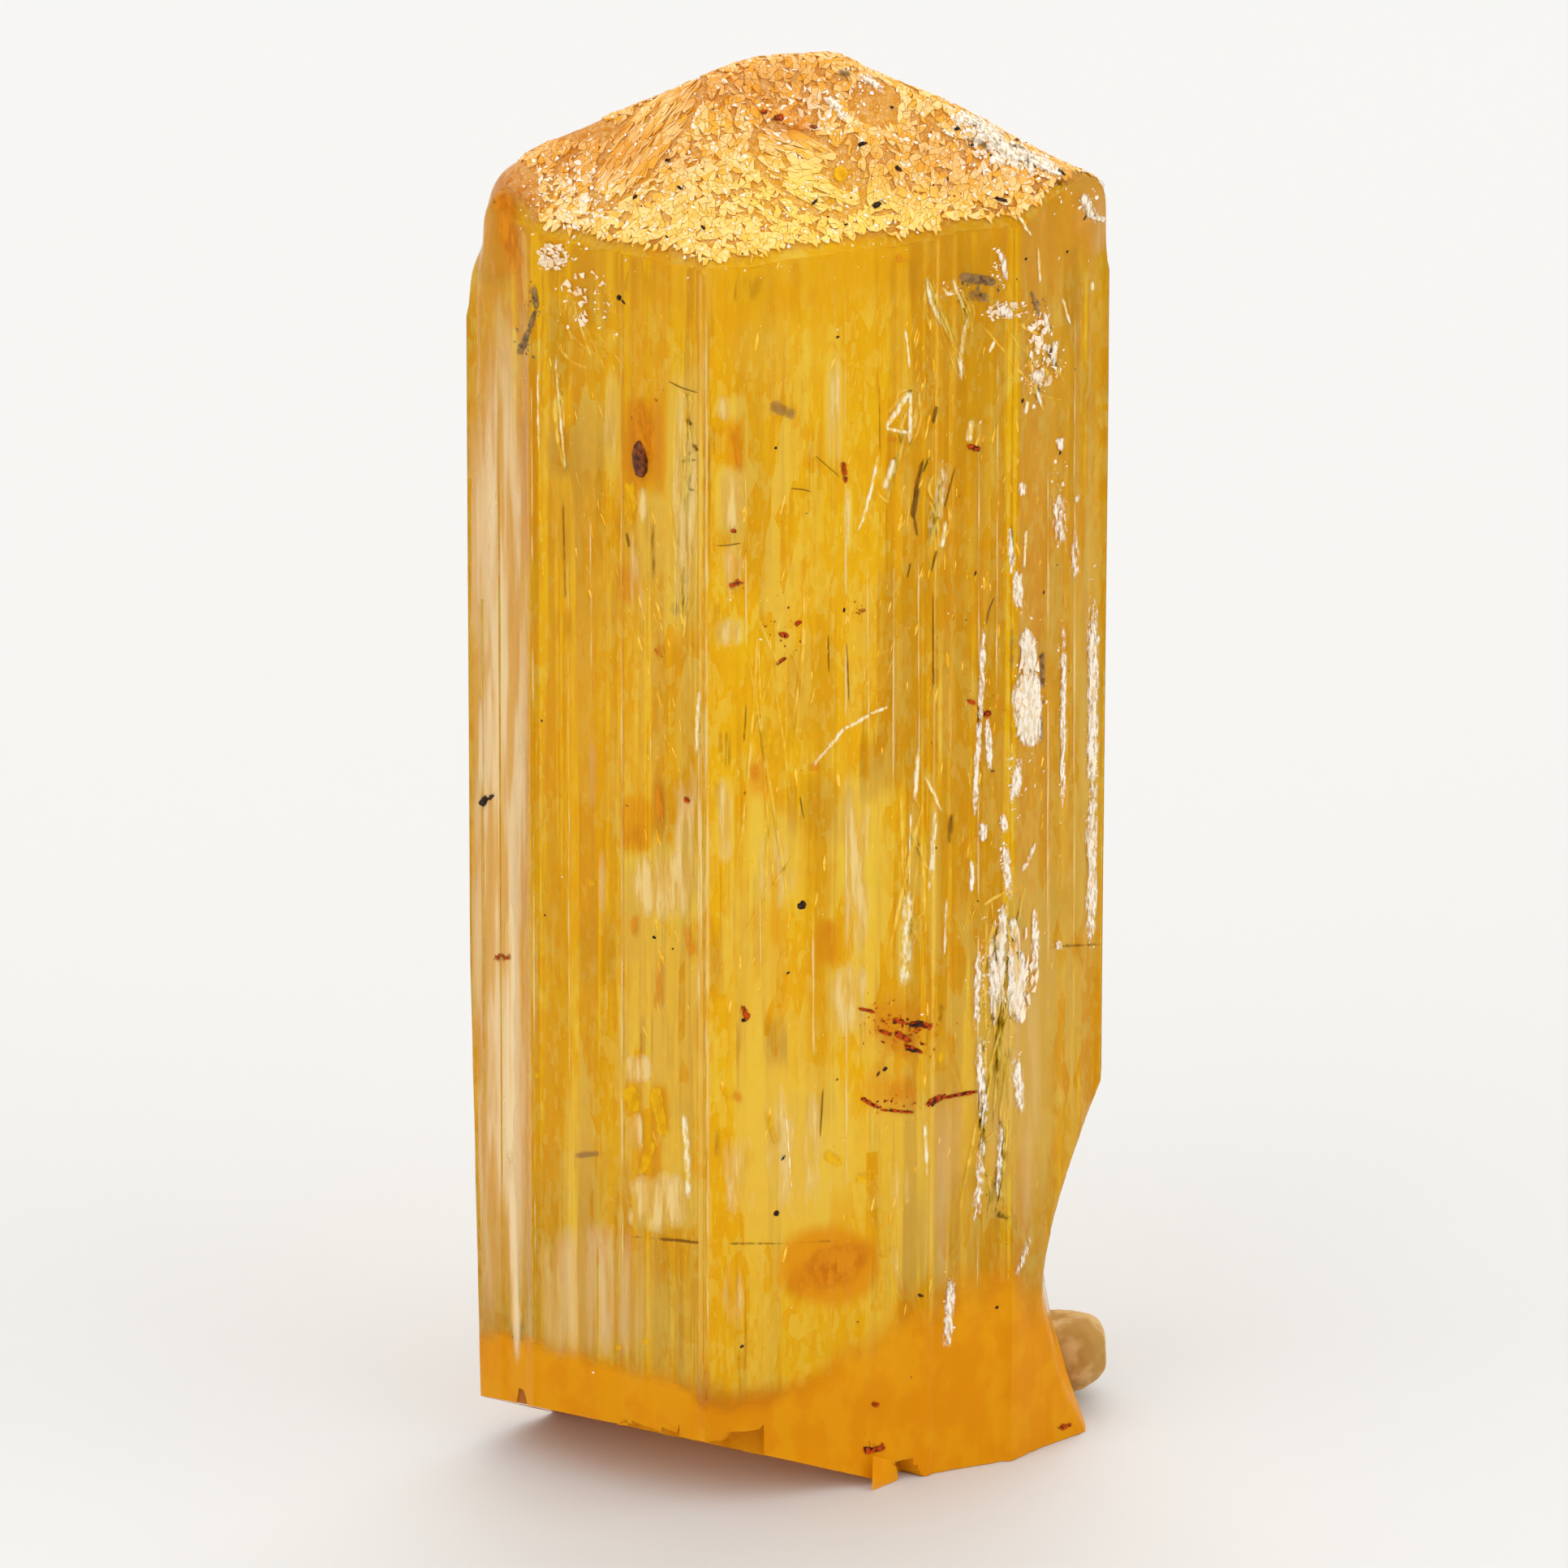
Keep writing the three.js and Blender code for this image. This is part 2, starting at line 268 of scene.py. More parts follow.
class Wiring:
    """A node tree that is being wired, of a material or of a node group."""

    def __init__(self, tree: bpy.types.NodeTree) -> None:
        """Keep the tree."""
        self.tree = tree

    def add(self, kind: str, settings: dict | None = None, **inputs: object) -> bpy.types.Node:
        """Add a node, set it and wire its inputs.

        Args:
            kind: Blender's name of the node.
            settings: attributes of the node.
            inputs: for each input, by its name with _ for a space, a plain value or a socket.

        Returns:
            The node.
        """
        node = self.tree.nodes.new(kind)
        for name, value in (settings or {}).items():
            setattr(node, name, value)
        self.dress(node, **inputs)
        return node

    def dress(self, node: bpy.types.Node, **inputs: object) -> None:
        """Feed several inputs of a node.

        Args:
            node: the node.
            inputs: for each input, by its name with _ for a space, a plain value or a socket.
        """
        for name, value in inputs.items():
            self.feed(node, name.replace("_", " "), value)

    def feed(self, node: bpy.types.Node, name: str | int, value: object) -> None:
        """Set one input of a node to a plain value, or link it to a socket.

        Args:
            node: the node.
            name: name or number of its input.
            value: a socket, a number or a tuple.
        """
        if isinstance(value, bpy.types.NodeSocket):
            self.tree.links.new(value, node.inputs[name])
        else:
            node.inputs[name].default_value = value

    def math(self, operation: str, *values: object) -> bpy.types.NodeSocket:
        """Add a Math node over some values.

        Args:
            operation: Blender's name of the operation.
            values: numbers or sockets.

        Returns:
            Its output.
        """
        node = self.add("ShaderNodeMath", {"operation": operation})
        for place, value in enumerate(values):
            self.feed(node, place, value)
        return node.outputs[0]

    def ramp(self, value: object, low: object, high: object, to: Pair = (0, 1)) -> bpy.types.NodeSocket:
        """Add a smooth Map Range from low..high to a new range.

        Args:
            value: the socket that is mapped.
            low: value mapped to the first end.
            high: value mapped to the second end.
            to: the new range.

        Returns:
            Its output.
        """
        node = self.add("ShaderNodeMapRange", {"interpolation_type": "SMOOTHSTEP"})
        self.feed(node, "Value", value)
        for name, number in zip(("From Min", "From Max", "To Min", "To Max"), (low, high, *to)):
            self.feed(node, name, number)
        return node.outputs[0]

    def mix(self, share: object, first: object, second: object, blend: str = "MIX") -> bpy.types.NodeSocket:
        """Add a colour mix.

        Args:
            share: how much of the second colour, a number or a socket.
            first: a colour or a socket.
            second: a colour or a socket.
            blend: Blender's name of the blend.

        Returns:
            The mixed colour.
        """
        node = self.add("ShaderNodeMix", {"data_type": "RGBA", "blend_type": blend})
        for place, value in ((0, share), (6, first), (7, second)):
            self.feed(node, place, value)
        return node.outputs[2]

    def wash(self, colour: object, mask: object, most: float, paint: object) -> bpy.types.NodeSocket:
        """Lay a paint over a colour, as strong as a mask times its greatest share."""
        return self.mix(self.math("MULTIPLY", mask, most), colour, paint)

    def between(self, share: object, first: object, second: object) -> bpy.types.NodeSocket:
        """Return a value between two others.

        Args:
            share: how much of the second, a number or a socket.
            first: a number or a socket.
            second: a number or a socket.

        Returns:
            The mixed value.
        """
        node = self.add("ShaderNodeMix", {"data_type": "FLOAT"}, Factor=share)
        self.feed(node, 2, first)
        self.feed(node, 3, second)
        return node.outputs[0]

    def bump(self, height: object, strength: float) -> bpy.types.NodeSocket:
        """Return the normal of a fine relief."""
        return self.add("ShaderNodeBump", Height=height, Strength=strength, Distance=GRAIN_BUMP).outputs[0]

    def attribute(self, name: str) -> bpy.types.NodeSocket:
        """Return the value of a mesh attribute."""
        return self.add("ShaderNodeAttribute", {"attribute_name": name}).outputs["Fac"]

    def group(self, tree: bpy.types.NodeTree, **inputs: object) -> dict[str, bpy.types.NodeSocket]:
        """Place a node group.

        Args:
            tree: the group.
            inputs: its inputs by name.

        Returns:
            Its outputs by name.
        """
        node = self.add("ShaderNodeGroup", {"node_tree": tree}, **inputs)
        return {socket.name: socket for socket in node.outputs}


def linear(red: int, green: int, blue: int) -> Colour:
    """Return the linear colour of an 8-bit display colour."""
    shares = (channel / 255 for channel in (red, green, blue))
    return (*(s / 12.92 if s <= 0.04045 else ((s + 0.055) / 1.055) ** 2.4 for s in shares), 1.0)


def node_group(
    name: str, inputs: dict[str, float], outputs: tuple[str, ...]
) -> tuple[Wiring, dict, bpy.types.Node]:
    """Start a shader node group with named sockets.

    Args:
        name: name of the group.
        inputs: default value of each input.
        outputs: name of each output, all of them plain values.

    Returns:
        The group's wiring, its input sockets by name, and its output node.
    """
    tree = bpy.data.node_groups.new(name, "ShaderNodeTree")
    for label, value in inputs.items():
        socket = tree.interface.new_socket(label, in_out="INPUT", socket_type="NodeSocketFloat")
        socket.default_value = value
    for label in outputs:
        tree.interface.new_socket(label, in_out="OUTPUT", socket_type="NodeSocketFloat")
    wiring = Wiring(tree)
    given = {plug.name: plug for plug in wiring.add("NodeGroupInput").outputs if plug.name}
    return wiring, given, wiring.add("NodeGroupOutput")


def drawn_out(wiring: Wiring, given: dict) -> bpy.types.NodeSocket:
    """Return Object coordinates in cells of a given Size in millimetres, stretched along the height.

    Args:
        wiring: the wiring of a group.
        given: its input sockets, with Size, Stretch and Shift among them.

    Returns:
        The coordinates.
    """
    across = wiring.math("DIVIDE", 1 / MM, given["Size"])
    along = wiring.math("DIVIDE", across, given["Stretch"])
    scale = wiring.add("ShaderNodeCombineXYZ", X=across, Y=across, Z=along).outputs[0]
    moved = given["Shift"]
    shift = wiring.add("ShaderNodeCombineXYZ", X=moved, Y=moved, Z=moved).outputs[0]
    spread = wiring.add("ShaderNodeVectorMath", {"operation": "MULTIPLY_ADD"})
    wiring.feed(spread, 0, wiring.add("ShaderNodeTexCoord").outputs["Object"])
    wiring.feed(spread, 1, scale)
    wiring.feed(spread, 2, shift)
    return spread.outputs[0]


def mottle_group() -> bpy.types.NodeTree:
    """Return the group for grain, streaks and patches: cloudy noise, and a mask that is cut from it.

    Returns:
        The group, made at the first call.
    """
    if "mottle" in bpy.data.node_groups:
        return bpy.data.node_groups["mottle"]
    inputs = {"Size": 0.3, "Stretch": 1.0, "Detail": 2.0, "Low": 0.42, "High": 0.58, "Shift": 0.0}
    wiring, given, out = node_group("mottle", inputs, ("Mask", "Height"))
    place = drawn_out(wiring, given)
    noise = wiring.add("ShaderNodeTexNoise", Vector=place, Scale=1.0, Detail=given["Detail"]).outputs[0]
    wiring.feed(out, "Mask", wiring.ramp(noise, given["Low"], given["High"]))
    wiring.feed(out, "Height", noise)
    return wiring.tree


def crackle_group() -> bpy.types.NodeTree:
    """Return the group for etched or dried surfaces: cells between cracks.

    Returns:
        The group, made at the first call.
    """
    if "crackle" in bpy.data.node_groups:
        return bpy.data.node_groups["crackle"]
    inputs = {"Size": 0.25, "Stretch": 1.0, "Width": 0.12, "Shift": 0.0}
    wiring, given, out = node_group("crackle", inputs, ("Cell", "Height"))
    place = drawn_out(wiring, given)
    edge = wiring.add("ShaderNodeTexVoronoi", {"feature": "DISTANCE_TO_EDGE"}, Vector=place, Scale=1.0)
    cell = wiring.add("ShaderNodeTexVoronoi", {"feature": "F1"}, Vector=place, Scale=1.0)
    wiring.feed(out, "Height", wiring.ramp(edge.outputs["Distance"], 0.0, given["Width"]))
    split = wiring.add("ShaderNodeSeparateColor", Color=cell.outputs["Color"])
    wiring.feed(out, "Cell", split.outputs[0])
    return wiring.tree


def blocks_group() -> bpy.types.NodeTree:
    """Return the group for growth blocks: straight-sided cells along the height, each with a value.

    Returns:
        The group, made at the first call.
    """
    if "blocks" in bpy.data.node_groups:
        return bpy.data.node_groups["blocks"]
    wiring, given, out = node_group("blocks", {"Size": 0.4, "Stretch": 4.0, "Shift": 0.0}, ("Cell",))
    settings = {"feature": "F1", "distance": "CHEBYCHEV"}
    cell = wiring.add("ShaderNodeTexVoronoi", settings, Vector=drawn_out(wiring, given), Scale=1.0)
    wiring.feed(out, "Cell", wiring.add("ShaderNodeSeparateColor", Color=cell.outputs["Color"]).outputs[0])
    return wiring.tree


def blank_material(name: str) -> tuple[bpy.types.Material, Wiring, bpy.types.Node]:
    """Start a material.

    Args:
        name: name of the material.

    Returns:
        The material, its wiring and its main shader.
    """
    material = bpy.data.materials.new(name)
    material.use_nodes = True
    return material, Wiring(material.node_tree), material.node_tree.nodes["Principled BSDF"]


# ---- Colour zones ----


class Tone(Enum):
    """How a zone differs from the golden body; the value names the attribute that holds it."""

    PALE = "pale"
    AMBER = "amber"
    ORANGE = "orange"
    PATCHY = "patchy"


@dataclass(frozen=True)
class Zone:
    """One zone as the front view shows it: middle and half size in the frame's pixels."""

    tone: Tone
    middle: Pair
    half: Pair
    share: float = 1.0
    soft: float = 0.3
    square: float = 4.0
    side: Side = Side.FRONT

    def cover(self, places: np.ndarray) -> np.ndarray:
        """Return how much of the zone lies at each place of the frame.

        Args:
            places: places x 2, in the frame's pixels.

        Returns:
            One share for each place.
        """
        away = np.abs((places - np.array(self.middle)) / np.array(self.half))
        far = (away**self.square).sum(-1) ** (1 / self.square)
        return self.share * (1 - smoothstep(1 - self.soft, 1 + self.soft, far))


def patches(tone: Tone, side: Side = Side.FRONT, **rows: tuple[float, ...]) -> tuple[Zone, ...]:
    """Return zones of one tone.

    Args:
        tone: how they differ from the body.
        side: the side that shows them.
        rows: by name, the column and row of the middle, half the width and half the height, then as
            far as they differ the share, the softness and the squareness.

    Returns:
        The zones.
    """
    found = []
    for x, y, a, b, *rest in rows.values():
        given = dict(zip(("share", "soft", "square"), rest))
        found.append(Zone(tone, (x, y), (a, b), side=side, **given))
    return tuple(found)


def paint_zones(mesh: bpy.types.Mesh, zones: tuple[Zone, ...]) -> None:
    """Write zones on a mesh, each on the faces that its side shows.

    Args:
        mesh: the mesh, in metres.
        zones: the zones.
    """
    count = len(mesh.vertices)
    points, normals = np.zeros(count * 3), np.zeros(count * 3)
    mesh.vertices.foreach_get("co", points)
    mesh.vertex_normals.foreach_get("vector", normals)
    points, normals = points.reshape(-1, 3) / MM, normals.reshape(-1, 3)
    totals = {tone: np.zeros(count) for tone in Tone}
    for side in Side:
        view = Viewpoint(azimuth=side.value)
        facing = smoothstep(-0.02, 0.06, normals @ -np.array(view.axes()[2]))
        places = view.frame_place(points)
        for zone in zones:
            if zone.side is side:
                totals[zone.tone] = np.maximum(totals[zone.tone], zone.cover(places) * facing)
    for tone, values in totals.items():
        layer = mesh.attributes.new(tone.value, "FLOAT", "POINT")
        layer.data.foreach_set("value", values.astype(np.float32))


def growth_blocks(side: Side, count: int, share: float, draw: random.Random) -> tuple[Zone, ...]:
    """Return upright blocks of random tone, spread over one side.

    Args:
        side: the side.
        count: how many blocks.
        share: greatest strength.
        draw: the random numbers that they take.

    Returns:
        The blocks.
    """
    blocks = []
    for _ in range(count):
        half = draw.uniform(4, 15), draw.uniform(14, 90)
        tone = draw.choice((Tone.PALE, Tone.AMBER, Tone.AMBER))
        strength = share * draw.uniform(0.4, 1.0)
        blocks.append(Zone(tone, side.place(draw, *BLOCK_ROWS), half, strength, square=5.0, side=side))
    return tuple(blocks)


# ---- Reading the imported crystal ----


class Survey:
    """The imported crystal, measured by rays. Everything is in millimetres."""

    def __init__(self, node: bpy.types.Object) -> None:
        """Merge a copy of the node's mesh and prepare it for rays.

        Args:
            node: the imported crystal.
        """
        self.solid = bmesh.new()
        self.solid.from_mesh(node.data)
        bmesh.ops.scale(self.solid, vec=(1 / MM,) * 3, verts=self.solid.verts)
        bmesh.ops.remove_doubles(self.solid, verts=self.solid.verts, dist=1e-4)
        self.tree = BVHTree.FromBMesh(self.solid)

    def outline(self, height: float) -> np.ndarray:
        """Return the corners of the level section at a height, counter-clockwise.

        Args:
            height: the height.

        Returns:
            Corners x 2.
        """
        cut = self.solid.copy()
        everything = cut.verts[:] + cut.edges[:] + cut.faces[:]
        found = bmesh.ops.bisect_plane(cut, geom=everything, plane_co=(0, 0, height), plane_no=(0, 0, 1))
        points = [v.co.copy() for v in found["geom_cut"] if isinstance(v, bmesh.types.BMVert)]
        cut.free()
        points.sort(key=lambda p: math.atan2(p.y, p.x))
        return np.array([(p.x, p.y) for p in points])

    def reach(self, angle: float, height: float) -> tuple[float, Vector]:
        """Return how far the side stands from the axis in one direction, and its normal there.

        Args:
            angle: the direction, in radians from +X.
            height: the height.

        Returns:
            The distance, 0 where there is no side, and the normal.
        """
        way = Vector((math.cos(angle), math.sin(angle), 0.0))
        place, normal, _, _ = self.tree.ray_cast(way * FAR + Vector((0, 0, height)), -way)
        return (place.xy.length, normal) if place is not None else (0.0, way)

    def top(self, x: float, y: float) -> float | None:
        """Return the height of the upper surface over a point, or None outside."""
        place = self.tree.ray_cast(Vector((x, y, FAR)), Vector((0, 0, -1)))[0]
        return None if place is None else place.z

    def under(self, x: float, y: float) -> float | None:
        """Return the height of the lower surface under a point, or None outside."""
        place = self.tree.ray_cast(Vector((x, y, -FAR)), Vector((0, 0, 1)))[0]
        return None if place is None else place.z


class HeightMap:
    """Height of the roof on a level grid, with its edges rounded off."""

    def __init__(self, survey: Survey, step: float, rounding: float) -> None:
        """Measure the roof and blur it.

        Args:
            survey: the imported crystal.
            step: side of a cell, in millimetres.
            rounding: radius of the blur, in millimetres.
        """
        self.step = step
        box = np.array([v.co[:] for v in survey.solid.verts])
        self.low = box.min(0)[:2]
        size = np.ceil((box.max(0)[:2] - self.low) / step).astype(int) + 2
        heights = np.full(size, np.nan)
        for i, j in np.ndindex(*size):
            z = survey.top(*(self.low + np.array((i, j)) * step))
            heights[i, j] = np.nan if z is None else z
        inside = ~np.isnan(heights)
        weight = self.blurred(inside.astype(float), rounding / step)
        total = self.blurred(np.where(inside, heights, 0.0), rounding / step)
        self.heights = total / np.maximum(weight, 1e-6)

    @staticmethod
    def blurred(values: np.ndarray, radius: float) -> np.ndarray:
        """Return the values after three box blurs of about a radius, in cells.

        Args:
            values: the grid.
            radius: the radius.

        Returns:
            The blurred grid.
        """
        half = max(1, round(radius * 0.6))
        for axis in (0, 1) * 3:
            padded = np.pad(values, [(half, half) if a == axis else (0, 0) for a in (0, 1)])
            total = np.cumsum(padded, axis=axis)
            total = np.insert(total, 0, 0, axis=axis)
            ends = np.take(total, range(2 * half + 1, total.shape[axis]), axis=axis)
            starts = np.take(total, range(0, total.shape[axis] - 2 * half - 1), axis=axis)
            values = (ends - starts) / (2 * half + 1)
        return values

    def at(self, x: np.ndarray, y: np.ndarray) -> np.ndarray:
        """Return the rounded height over each point.

        Args:
            x: the points' x.
            y: the points' y.

        Returns:
            One height for each point.
        """
        u, v = (x - self.low[0]) / self.step, (y - self.low[1]) / self.step
        i = np.clip(u.astype(int), 0, self.heights.shape[0] - 2)
        j = np.clip(v.astype(int), 0, self.heights.shape[1] - 2)
        a, b, h = u - i, v - j, self.heights
        low = h[i, j] * (1 - a) + h[i + 1, j] * a
        high = h[i, j + 1] * (1 - a) + h[i + 1, j + 1] * a
        return low * (1 - b) + high * b


# ---- Crystal ----


@dataclass(frozen=True)
class Swell:
    """One rounded rise of the roof over a level ellipse, in millimetres; below 0 it is a hollow."""

    middle: Pair
    half: Pair
    rise: float

    def height(self, x: np.ndarray, y: np.ndarray) -> np.ndarray:
        """Return how much it lifts each point."""
        far = np.hypot((x - self.middle[0]) / self.half[0], (y - self.middle[1]) / self.half[1])
        return self.rise * (1 - smoothstep(0.0, 1.0, far))


ROOF_SWELLS = (
    Swell((2.2, -1.1), (1.1, 0.9), 0.28),
    Swell((4.4, 0.3), (2.8, 1.6), 0.24),
    Swell((-1.2, 0.4), (1.9, 1.3), 0.30),
    Swell((0.9, 0.2), (1.6, 1.2), 0.16),
    Swell((-4.6, 0.9), (2.2, 1.4), 0.12),
    Swell((1.2, -3.0), (1.3, 0.8), -0.12),
    Swell((-3.4, -1.8), (1.4, 0.9), 0.10),
)


@dataclass
class CrystalBody:
    """The crystal as one closed mesh: rings from the middle of the base over the sides to the apex.

    Each wave of the striae is its width and length in millimetres, its share and its seed.
    """

    survey: Survey
    column_width: float = 0.118
    outline_height: float = 25.0
    foot: float = 3.0
    head: float = 33.6
    level_rows: int = 84
    foot_rows: int = 11
    head_rows: int = 13
    roof_rings: int = 60
    base_rings: int = 14
    shoulder: float = 34.9
    apex: Pair = (0.9, 0.1)
    rounding: float = 0.42
    rim_fade: float = 0.5
    striation: float = 0.032
    roof_relief: float = 0.04
    clearance: float = 0.16
    worn_left: Pair = (-6.3, 32.6)
    worn_right: Pair = (6.7, 33.8)
    worn_rounds: tuple[int, int] = (14, 45)
    underside_rise: float = -0.3
    foot_step: float = 0.05
    foot_precision: float = 0.002
    rim_inset: float = 0.998
    striae_waves: tuple[tuple[float, float, float, int], ...] = (
        (0.55, 16.0, 0.5, 3),
        (0.23, 9.0, 0.32, 5),
        (0.12, 5.0, 0.18, 8),
    )
    swells: tuple[Swell, ...] = ROOF_SWELLS
    zones: tuple[Zone, ...] = ()

    def columns(self) -> tuple[np.ndarray, np.ndarray]:
        """Return the direction of each column and its distance along the outline, ends included.

        Returns:
            Both, one value for each column.
        """
        corners = self.survey.outline(self.outline_height)
        corners = np.vstack([corners, corners[:1]])
        points = []
        for start, end in zip(corners[:-1], corners[1:]):
            parts = max(1, math.ceil(np.linalg.norm(end - start) / self.column_width))
            points.extend(start + (end - start) * k / parts for k in range(parts))
        points.append(corners[-1])
        points = np.array(points)
        along = np.insert(np.cumsum(np.linalg.norm(np.diff(points, axis=0), axis=1)), 0, 0.0)
        angles = np.unwrap(np.arctan2(points[:, 1], points[:, 0]))
        return angles, along

    def lowest(self, angle: float) -> float:
        """Return the height at which the side ends in one direction, over the base or its break.

        Args:
            angle: the direction, in radians from +X.

        Returns:
            The height.
        """
        height, step = self.foot, self.foot_step
        while height > step / 10:
            reach, normal = self.survey.reach(angle, height - step)
            if reach == 0.0 or normal.z < self.underside_rise:
                step /= 2
                if step < self.foot_precision:
                    break
                continue
            height -= step
        return max(height, 0.0)

    def side_heights(self, angles: np.ndarray) -> np.ndarray:
        """Return the height of each row of the sides at each column.

        Args:
            angles: direction of each column.

        Returns:
            Rows x columns.
        """
        low = np.array([self.lowest(a) for a in angles])
        ends = []
        for angle in angles:
            reach = self.survey.reach(angle, self.shoulder)[0] * self.rim_inset
            ends.append(self.survey.top(reach * math.cos(angle), reach * math.sin(angle)))
        high = np.array(ends)
        rise = (np.arange(self.foot_rows) / self.foot_rows) ** 1.6
        feet = low + (self.foot - low) * rise[:, None]
        level = np.linspace(self.foot, self.head, self.level_rows, endpoint=False)
        middle = np.repeat(level[:, None], len(angles), axis=1)
        climb = 1 - (1 - np.arange(self.head_rows + 1) / self.head_rows) ** 1.7
        heads = self.head + (high - self.head) * climb[:, None]
        return np.vstack([feet, middle, heads])

    def sides(self, angles: np.ndarray, along: np.ndarray) -> np.ndarray:
        """Return the points of the sides, row by row, with the striations cut in.

        Args:
            angles: direction of each column.
            along: distance of each column along the outline.

        Returns:
            Rows x columns x 3.
        """
        heights = self.side_heights(angles)
        points = np.zeros((*heights.shape, 3))
        for row, level in enumerate(heights):
            lowered = np.minimum(level, level - 0.004 * (row == len(heights) - 1))
            raised = lowered + 0.002 * (row == 0)
            reach = np.array([self.survey.reach(a, z)[0] for a, z in zip(angles, raised)])
            points[row] = np.stack([reach * np.cos(angles), reach * np.sin(angles), level], axis=1)
        outward = self.outward(points)
        return points - outward * self.striae(along, heights)[..., None]

    @staticmethod
    def outward(points: np.ndarray) -> np.ndarray:
        """Return the level outward direction at each point of the rows.

        Args:
            points: rows x columns x 3.

        Returns:
            Unit vectors, of the same shape.
        """
        closed = np.concatenate([points[:, -2:-1], points, points[:, 1:2]], axis=1)
        along = closed[:, 2:, :2] - closed[:, :-2, :2]
        along /= np.maximum(np.linalg.norm(along, axis=2, keepdims=True), 1e-9)
        return np.stack([along[..., 1], -along[..., 0], np.zeros(along.shape[:2])], axis=2)

    def striae(self, along: np.ndarray, heights: np.ndarray) -> np.ndarray:
        """Return how deep the striations lie under the faces, at each point of the sides.

        Args:
            along: distance of each column along the outline.
            heights: rows x columns.

        Returns:
            Rows x columns.
        """
        across = np.repeat(along[None, :], len(heights), axis=0)
        total = along[-1]
        depth = np.zeros(heights.shape)
        for width, length, share, seed in self.striae_waves:
            knots = round(total / width)
            place = across / total * knots
            wave = value_noise(place, heights / length, seed)
            wave_end = value_noise(place - knots, heights / length, seed)
            blend = smoothstep(0.96, 1.0, across / total)
            wave = wave * (1 - blend) + wave_end * blend
            depth += share * smoothstep(0.25, 0.75, wave)
        return depth * self.striation * (1 - 0.8 * smoothstep(self.shoulder - 1.6, self.shoulder, heights))

    def roof(self, rim: np.ndarray) -> np.ndarray:
        """Return the rings of the roof, from beside the rim to beside the apex.

        Args:
            rim: the points of the sides' top row.

        Returns:
            Rings x columns x 3.
        """
        rounded = HeightMap(self.survey, 0.12, self.rounding)
        shares = (np.arange(1, self.roof_rings) / self.roof_rings) ** 1.12
        flat = rim[None, :, :2] * (1 - shares[:, None, None]) + np.array(self.apex) * shares[:, None, None]
        x, y = flat[..., 0], flat[..., 1]
        sharp = np.array([[self.survey.top(a, b) or np.nan for a, b in ring] for ring in flat])
        soft = rounded.at(x, y)
        sharp = np.where(np.isnan(sharp), soft, sharp)
        inwards = np.linalg.norm(flat - rim[None, :, :2], axis=2)
        share = smoothstep(0.0, self.rim_fade, inwards)
        height = sharp * (1 - share) + soft * share
        fade = smoothstep(0.1, 0.7, inwards)
        swell = sum(swell.height(x, y) for swell in self.swells)
        height = height + (swell - self.roof_pattern(x, y)) * fade
        return np.dstack([x, y, np.minimum(height, CAD_BOX[1][2] / MM - self.clearance)])

    def roof_pattern(self, x: np.ndarray, y: np.ndarray) -> np.ndarray:
        """Return how deep the etched relief of the roof lies at each point.

        Args:
            x: the points' x.
            y: the points' y.

        Returns:
            One depth for each point.
        """
        plates = value_noise(x / 0.42, y / 0.36, 21) * 0.6 + value_noise(x / 0.2, y / 0.17, 22) * 0.4
        swell = value_noise(x / 1.7, y / 1.3, 23)
        return self.roof_relief * (plates + 1.5 * swell)

    def underside(self, edge: np.ndarray) -> np.ndarray:
        """Return the rings of the base, from beside its middle to beside its edge.

        Args:
            edge: the points of the sides' lowest row.

        Returns:
            Rings x columns x 3.
        """
        shares = 1 - (1 - np.arange(1, self.base_rings) / self.base_rings) ** 1.5
        flat = edge[None, :, :2] * shares[:, None, None]
        height = np.array([[self.survey.under(a, b) or 0.0 for a, b in ring] for ring in flat])
        ripple = 0.05 * value_noise(flat[..., 0] / 0.8, flat[..., 1] / 0.6, 31)
        broken = smoothstep(0.05, 0.5, height)
        return np.dstack([flat[..., 0], flat[..., 1], height + ripple * broken])

    def wear(self, mesh: bpy.types.Mesh) -> None:
        """Round off the ledge at the upper left and the corner at the upper right.

        Args:
            mesh: the crystal, in metres.
        """
        shape = bmesh.new()
        shape.from_mesh(mesh)
        left, low = (limit * MM for limit in self.worn_left)
        right, high = (limit * MM for limit in self.worn_right)
        corners = (
            [v for v in shape.verts if v.co.x < left and v.co.z > low],
            [v for v in shape.verts if v.co.x > right and v.co.z > high],
        )
        axes = {"use_axis_x": True, "use_axis_y": True, "use_axis_z": True}
        for corner, rounds in zip(corners, self.worn_rounds):
            for _ in range(rounds):
                bmesh.ops.smooth_vert(shape, verts=corner, factor=0.5, **axes)
        shape.to_mesh(mesh)
        shape.free()

